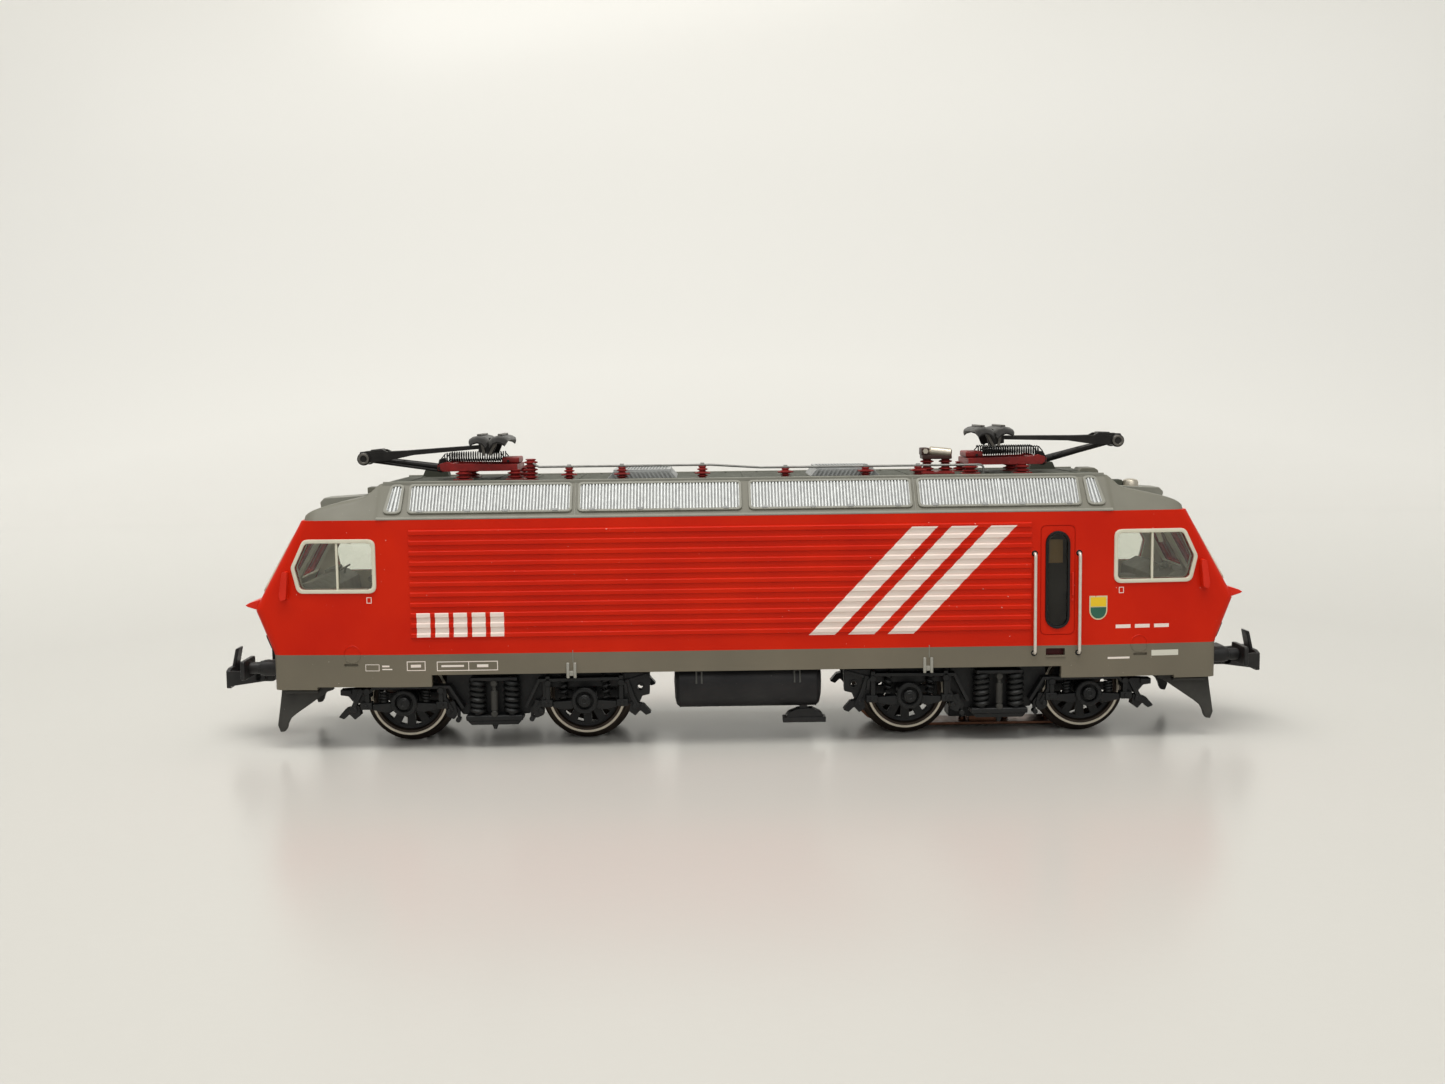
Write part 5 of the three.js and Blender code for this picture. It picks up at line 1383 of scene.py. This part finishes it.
def slider_shoe():
    """The copper ski with its turned-up ends and centre screws."""
    bottom, half = -0.9, 23.8
    line = [
        (-half, 2.6), (-half + 1.6, 0.9), (-17.0, bottom + 0.25), (17.0, bottom + 0.25),
        (half - 1.6, 0.9), (half, 2.6),
    ]
    ski = prism(band(fillet(line, 3.0, 6, False), 0.25), -3.2, 3.2, across, 0.08)
    studs = [disc(0.7, bottom + 0.3, 0.1, (x, 0, 0), "z", 16, 0.1) for x in (-12, -4, 4, 12)]
    foot = box(-3, 3, -2, 2, bottom + 0.4, 0.5, 0.1)
    return join(ski, *studs, foot)


# ------------------------------------------------------------------ pantographs


def panto_base(z):
    """The red base frame on its ribbed insulators, hinge at the origin; z is the hinge's height."""
    low, high = -0.5, 0.9
    beam = prism(
        fillet(
            [
                (-14.5, low), (-0.9, low), (-0.4, low + 0.5), (-0.4, high), (-1.6, high + 0.35),
                (-2.8, high), (-14.5, high - 0.2),
            ],
            0.2, 3,
        ),
        4.5, 5.5, across, 0.12,
    )
    crosses = [box(-14.5, -13.2, -5, 5, low, high - 0.2, 0.12), box(-6.2, -5.0, -5, 5, low, low + 0.7, 0.1),
               box(-2.4, -1.5, -5, 5, low, high - 0.1, 0.12)]
    ear = box(-2.0, 0.5, 1.95, 2.9, low, high - 0.1, 0.2)
    stop = box(-14.6, -11.4, -3.4, 3.4, high - 0.1, high + 1.0, 0.3, 3)
    feet = [
        lathe(insulator_profile(ROOF_TOP - z, low + 0.25, 1.45, 2), (x, 5.0, 0), "z", 24)
        for x in (-14.1, -4.6)
    ]
    plates = [
        box(x - 1.7, x + 1.7, 3.6, 6.4, ROOF_TOP - z, ROOF_TOP - z + 0.3, 0.08) for x in (-14.1, -4.6)
    ]
    return join(
        with_mirror(beam), *crosses, stop, with_mirror(ear), with_mirror(join(*feet)),
        with_mirror(join(*plates)),
    )


def panto_springs():
    """Two fine coil springs along the base frame, hooked to a cross bar."""
    parts = []
    for y in (-3.0, 3.0):
        parts.append(tube(helix((-11.4, y, 2.0), (-1.0, y, 2.0), 0.8, 24, 10), 0.11, 5))
        parts.append(tube([(-12.6, y, 1.2), (-11.9, y, 1.9), (-11.3, y, 2.6)], 0.11, 6))
        parts.append(tube([(-1.1, y, 2.7), (-0.4, y, 1.9), (0.3, y, 0.6)], 0.11, 6))
    parts.append(tube([(-12.6, -3.6, 1.2), (-12.6, 3.6, 1.2)], 0.25, 8))
    return join(*parts)


def panto_lower(length):
    arm = tube([(0.4, 0, 0), (length * 0.5, 0, 0.05), (length - 0.6, 0, 0)], [0.72, 0.62, 0.52], 14)
    rod = tube([(0.2, 1.3, -0.55), (length - 1.2, 1.3, -0.35)], 0.24, 8)
    eye = disc(0.85, -1.7, 1.7, (0, 0, 0), "y", 20, 0.1)
    knee = disc(1.0, -1.5, 1.5, (length, 0, 0), "y", 24, 0.1)
    crank = prism(
        fillet([(-0.8, -0.5), (0.9, -0.6), (0.7, 1.5), (-0.2, 1.9), (-0.8, 1.2)], 0.3, 3), -0.8, 0.8,
        across, 0.1,
    )
    pin = tube([(0, -3.2, 0), (0, 3.2, 0)], 0.38, 10)
    brace = tube([(2.4, -0.9, 0.1), (4.6, -0.2, 0.5), (6.4, 0.0, 0.3)], 0.18, 6)
    return join(arm, rod, eye, knee, crank, pin, brace)


def panto_upper(length):
    """The narrow A-frame from the knee back to the head, knee at the origin."""
    sheet = [
        (-0.4, -0.75), (0.3, 0.75), (-2.5, 1.0), (-7.0, 0.75), (-length, 0.35), (-length, -0.3),
        (-9.0, -0.2), (-4.5, -0.75),
    ]
    leg = prism(fillet(sheet, 0.25, 3), 1.9, 2.4, across, 0.1)
    cheek = disc(1.2, 1.75, 2.75, (0, 0, 0), "y", 28, 0.15)
    casting = prism(
        fillet([(-0.9, 0.2), (0.8, 0.6), (0.6, 1.35), (-3.6, 1.35), (-4.4, 0.9), (-4.2, 0.1)], 0.25, 3),
        1.5, 2.3, across, 0.12,
    )
    cap = box(-3.4, -1.2, -1.6, 1.6, 0.9, 1.55, 0.2)
    ties = [tube([(x, -2.3, 0.2), (x, 2.3, 0.2)], 0.24, 8) for x in (-7.0, -length * 0.62, -length + 1.2)]
    pins = [
        tube([(0, -2.6, 0), (0, 2.6, 0)], 0.4, 10),
        tube([(-length, -3.9, 0), (-length, 3.9, 0)], 0.32, 10),
    ]
    dark = join(with_mirror(leg), with_mirror(cheek), with_mirror(casting), cap, *ties, *pins)
    bright = with_mirror(washer(0.62, 1.02, 2.6, 2.84, (0, 0, 0), "y", 28, 0.06))
    return join(tint(dark, 0), tint(bright, 1))


def panto_head():
    """Two arched collector pans with drooping horns on V brackets, head pin at the origin."""
    inboard, pans, carbons = 1.4, [], []
    for side in (-1, 1):
        sections = []
        for y, drop, spread in (
            (-7.9, 1.1, 0.75), (-6.8, 0.45, 0.95), (-5.2, 0.05, 1.0), (5.2, 0.05, 1.0), (6.8, 0.45, 0.95),
            (7.9, 1.1, 0.75),
        ):
            top = [(-2.2, -0.75), (-1.3, -0.15), (0.0, 0.12), (1.3, -0.1), (2.1, -0.5)]
            under = [(u, w - 0.32) for u, w in reversed(top)]
            sections.append(
                [(side * (1.8 + u * spread * 0.85) - inboard, y, 2.1 - drop + w) for u, w in top + under]
            )
        pans.append(loft(sections))
        carbons.append(
            box(side * 1.9 - inboard - 0.4, side * 1.9 - inboard + 0.4, -4.6, 4.6, 2.1, 2.42, 0.1)
        )
    legs = [
        prism(
            band([(0.45 * k - 0.6 * inboard, -1.5), (1.6 * k - inboard, 1.8)], 0.24), 4.5, 4.75, across,
            0.06,
        )
        for k in (-1, 1)
    ]
    boss = disc(0.75, 2.8, 4.6, (0, 0, 0), "y", 18, 0.1)
    plate = prism(
        fillet([(-3.1, 1.5), (-1.9, -1.4), (0.7, -0.9), (0.6, 1.5)], 0.2, 3), 4.15, 4.5, across, 0.06
    )
    bar = tube([(-3.2, 3.25, 1.5), (0.5, 3.25, 1.5)], 0.18, 6)
    dark = join(*pans, with_mirror(boss), with_mirror(plate), with_mirror(bar))
    return join(tint(dark, 0), tint(join(*carbons, with_mirror(join(*legs))), 1))


# ------------------------------------------------------------------ assembly


def facing(bm, flip):
    """A right-hand or near piece, turned round to the other end or side where flip is true."""
    return turned_round(bm) if flip else bm


def dress_body():
    chassis = "chassis"
    piece("body_paintwork", body_shell(), RED_GREY, chassis, "body_shell", 30)
    piece("body_ribs", side_ribs(), RED_GREY, chassis)
    piece("body_trim", body_trim(), RED, chassis)
    piece("skirt_details", skirt_details(), RED_GREY, chassis)
    piece("step_hollows", step_hollow(), [DARK_RED, GASKET], chassis)
    piece("body_badges", badge(), [PALE, YELLOW, GREEN], chassis)
    piece("side_window_frames", window_frames(), WINDOW_FRAME, chassis)
    screens, wipers = windscreen_frames()
    piece("windscreen_frames", screens, WINDOW_FRAME, chassis)
    piece("wipers", wipers, GASKET, chassis)
    piece("skirt_clips", skirt_clips(), CLIP, chassis)
    piece("skirt_lines", skirt_lines(), LIGHT_GREY, chassis)
    bezels, lenses = lamp_boxes()
    for side, flip in (("right", False), ("left", True)):
        piece(f"cab_panes_{side}", facing(cab_panes(), flip), CLEAR, chassis, f"cab_glazing_{side}")
        piece(
            f"cab_room_{side}", facing(cab_interior(), flip), [CAB, CAB_DARK], chassis,
            f"cab_interior_{side}",
        )
        piece(f"lamp_bezels_{side}", facing(bezels.copy(), flip), BLACK, chassis)
        piece(f"lamp_lenses_{side}", facing(lenses.copy(), flip), LENS, chassis, f"light_guide_{side}")
        piece(f"plough_{side}", facing(end_skirt(), flip), PLOUGH, chassis, f"end_skirt_{side}")
        piece(f"buffers_{side}", facing(buffers(), flip), BLACK, chassis)
    for side, flip in (("near", False), ("far", True)):
        piece(f"door_gasket_{side}", facing(door_gasket(), flip), GASKET, chassis)
        piece(f"door_pane_{side}", facing(door_pane(), flip), SMOKED, chassis, f"door_window_{side}")
        piece(f"door_backing_{side}", facing(door_backing(), flip), [BLACK, TAN], chassis)
        piece(f"handrails_{side}", facing(door_handrails(), flip), WIRE, chassis, f"door_handrails_{side}")


def dress_roof():
    chassis = "chassis"
    piece("roof_casting", roof_shell(), GREY, chassis, "roof_shell", 30)
    piece("roof_trim", roof_fittings(), LIGHT_GREY, chassis)
    sheets, frames = roof_louvres()
    piece("roof_louvres", with_turned(with_mirror(sheets)), [LOUVRE, SHADE_GREY], chassis)
    piece("roof_louvre_frames", with_turned(with_mirror(frames)), LIGHT_GREY, chassis)
    # The walkway is painted darker than the roof: painted shade.
    piece("roof_walkway", roof_deck(), DECK_PAINTED_SHADE, chassis)
    piece("air_outlets", air_outlets(), [LOUVRE, SHADE_GREY], chassis)
    piece("roof_posts", line_posts(), INSULATOR, chassis, "roof_insulators")
    piece("roof_wire", line_wire(), GREY_WIRE, chassis, "roof_conductor")
    piece("breaker", main_breaker(), [INSULATOR, BROWN, STEEL], chassis, "main_breaker")
    piece("roof_end_boxes", roof_ends(), [GREY, DECK_PAINTED_SHADE, STEEL], chassis)


def dress_underframe():
    piece("air_tanks", tank(), [TANK, STRAP], "chassis", "underfloor_tank")
    piece("reed_magnet", reed_magnet(), BLACK, "chassis")
    sides = bogie_sides()
    piece(
        "trailing_sides", moved(sides.copy(), BOGIE_X), [DEEP_BLACK, PLOUGH], "trailing_bogie",
        "trailing_bogie_sides", 40,
    )
    piece(
        "motor_sides", moved(turned_round(sides), -BOGIE_X), [DEEP_BLACK, PLOUGH], "motor_bogie",
        "motor_bogie_sides", 40,
    )
    piece("pickup_ski", moved(slider_shoe(), BOGIE_X), COPPER, "slider", "slider_shoe")
    for number in (1, 2, 3, 4):
        centre = JOINT[f"wheelset_{number}_spin"]
        for side in ("far", "near"):
            node = f"wheel_{number}_{side}"
            tyred = (number, side) in ((1, "far"), (2, "near"))
            bm = wheel(tyred)
            if side == "near":
                bm = mirrored(bm)
            finishes = [TREAD, STEEL, DEEP_BLACK]
            piece(f"{node}_cast", moved(bm, centre.x, 0, centre.z), finishes, f"wheelset_{number}", node)


def dress_couplers():
    for side, flip in (("left", True), ("right", False)):
        z = JOINT[f"coupler_{side}_yaw"].z
        x = abs(JOINT[f"coupler_{side}_yaw"].x)
        bar, loop = drawbar(x, z), bail(abs(JOINT[f"coupler_{side}_bail_lift"].x), z)
        piece(f"drawbar_{side}", facing(bar, flip), BLACK, f"coupler_{side}", f"coupler_{side}_drawbar")
        piece(f"bail_{side}", facing(loop, flip), BLACK, f"bail_{side}", f"coupler_{side}_bail")


def dress_pantographs():
    for side, flip in (("left", True), ("right", False)):
        hinge, knee, head = (JOINT[f"pantograph_{side}_{name}"] for name in ("raise", "knee", "head_tilt"))
        lower = Vector((abs(knee.x) - abs(hinge.x), knee.z - hinge.z))
        upper = Vector((abs(knee.x) - abs(head.x), head.z - knee.z))
        lower_turn = -math.degrees(math.atan2(lower.y, lower.x))
        upper_turn = math.degrees(math.atan2(upper.y, upper.x))

        def put(bm, at, angle=0.0, flip=flip):
            turned(bm, angle, "Y")
            return facing(moved(bm, abs(at.x), 0, at.z), flip)

        names = [f"pantograph_{side}_{n}" for n in ("base", "springs", "lower_arm", "upper_arm", "head")]
        piece(f"panto_{side}_frame", put(panto_base(hinge.z), hinge), INSULATOR, "chassis", names[0])
        piece(f"panto_{side}_coils", put(panto_springs(), hinge), COIL, "chassis", names[1])
        piece(
            f"panto_{side}_lower", put(panto_lower(lower.length), hinge, lower_turn), ARM,
            f"pantograph_{side}_lower", names[2],
        )
        piece(
            f"panto_{side}_upper", put(panto_upper(upper.length), knee, upper_turn), [ARM, EYE],
            f"pantograph_{side}_upper", names[3],
        )
        piece(f"panto_{side}_head", put(panto_head(), head), [ARM, EYE], f"pantograph_{side}_pan", names[4])


def dress_hidden_parts():
    """Finishes for the CAD nodes that are shown as they are."""
    finishes = {
        CAST: ["chassis_frame", "motor_bogie_frame", "trailing_bogie_frame"],
        BOARD: ["circuit_board"],
        SCREW: ["body_screw", "axle_1", "axle_2", "axle_3", "axle_4"],
        MAGNET: ["motor_field_magnet"],
        NYLON: ["motor_brush_shield", "idler_gear_1", "idler_gear_2"],
        WINDING: ["motor_armature"],
        TYRE: ["traction_tyre_1", "traction_tyre_2"],
        BLACK: ["slider_carrier"],
    }
    for material, names in finishes.items():
        for name in names:
            mesh = frame["nodes"][name].data
            mesh.materials.clear()
            mesh.materials.append(material)


# ------------------------------------------------------------------ stage


def backdrop():
    """A pale floor, painted a little darker round the object as a painted shadow, that curves up into a wall.
    """
    front, bend, radius, top = -1.6, 0.5, 0.4, 2.2
    angles = [math.radians(6 * k) for k in range(1, 16)]
    curve = [(bend + radius * math.sin(a), radius - radius * math.cos(a)) for a in angles]
    profile = [(front, 0.0), (bend, 0.0), *curve, (bend + radius, top)]
    bm = bmesh.new()
    rows = [[bm.verts.new((x, y, z)) for y, z in profile] for x in (-2.5, 2.5)]
    for i in range(len(profile) - 1):
        bm.faces.new((rows[0][i], rows[1][i], rows[1][i + 1], rows[0][i + 1]))
    obj = loose_object("backdrop", bm)
    obj.data.shade_smooth()
    s = Shader("backdrop_paper")
    distance = s.tree.nodes.new("ShaderNodeVectorMath")
    distance.operation = "LENGTH"
    s.link(s.where, distance.inputs[0])
    painted_shadow_fade = s.span(distance.outputs["Value"], 0.0, 1.0, 0.2, 0.75)
    # Painted shadow: the paper is darker near the object and pale further away.
    s.set("Base Color", s.mix(painted_shadow_fade, srgb(190, 188, 182), srgb(240, 238, 232)))
    s.set("Roughness", 0.24)
    s.set("Specular IOR Level", 0.4)
    s.bump(s.noise(1.5, 2.0), 0.01)
    obj.data.materials.append(s.material)


def area_light(name, place, target, width, height, power, colour=(1, 1, 1)):
    data = bpy.data.lights.new(name, "AREA")
    data.shape = "RECTANGLE"
    data.size, data.size_y = width, height
    data.energy, data.color = power, colour
    obj = bpy.data.objects.new(name, data)
    bpy.context.scene.collection.objects.link(obj)
    obj.location = place
    obj.rotation_euler = (Vector(target) - Vector(place)).to_track_quat("-Z", "Y").to_euler()


def camera():
    """The main viewpoint: a little above the body, looking down across the near side."""
    yaw, pitch, roll = (math.radians(a) for a in (0.757, 5.414, -0.704))
    forward = Vector((math.sin(yaw) * math.cos(pitch), math.cos(yaw) * math.cos(pitch), -math.sin(pitch)))
    right = Vector((math.cos(yaw), -math.sin(yaw), 0))
    up = right.cross(forward)
    right, up = (right * math.cos(roll) + up * math.sin(roll), up * math.cos(roll) - right * math.sin(roll))
    data = bpy.data.cameras.new("camera")
    data.lens, data.sensor_width = 37.74, 36.0
    data.clip_start, data.clip_end = 0.01, 10.0
    obj = bpy.data.objects.new("camera", data)
    bpy.context.scene.collection.objects.link(obj)
    turn = Matrix((right, up, -forward)).transposed()
    eye = Vector((-7.64, -282.8, 60.69 + RAIL)) * MM
    obj.matrix_world = Matrix.Translation(eye) @ turn.to_4x4()
    bpy.context.scene.camera = obj


def stage():
    backdrop()
    area_light("top", (-0.1, -0.2, 0.8), (0, 0, 0), 0.9, 0.4, 6.6, (1.0, 0.985, 0.95))
    area_light("front", (0.2, -1.1, 0.75), (0, 0.05, 0.04), 1.2, 0.5, 2.7, (1.0, 0.99, 0.97))
    area_light("wall", (0.1, 0.2, 0.9), (0.1, 0.85, 0.1), 1.8, 0.3, 1.7, (0.99, 0.99, 1.0))
    world = bpy.data.worlds.new("studio")
    world.use_nodes = True
    world.node_tree.nodes["Background"].inputs[0].default_value = (0.94, 0.95, 0.94, 1)
    world.node_tree.nodes["Background"].inputs[1].default_value = 0.52
    bpy.context.scene.world = world
    bpy.context.scene.view_settings.view_transform = "Standard"
    camera()


dress_body()
dress_roof()
dress_underframe()
dress_couplers()
dress_pantographs()
dress_hidden_parts()
stage()
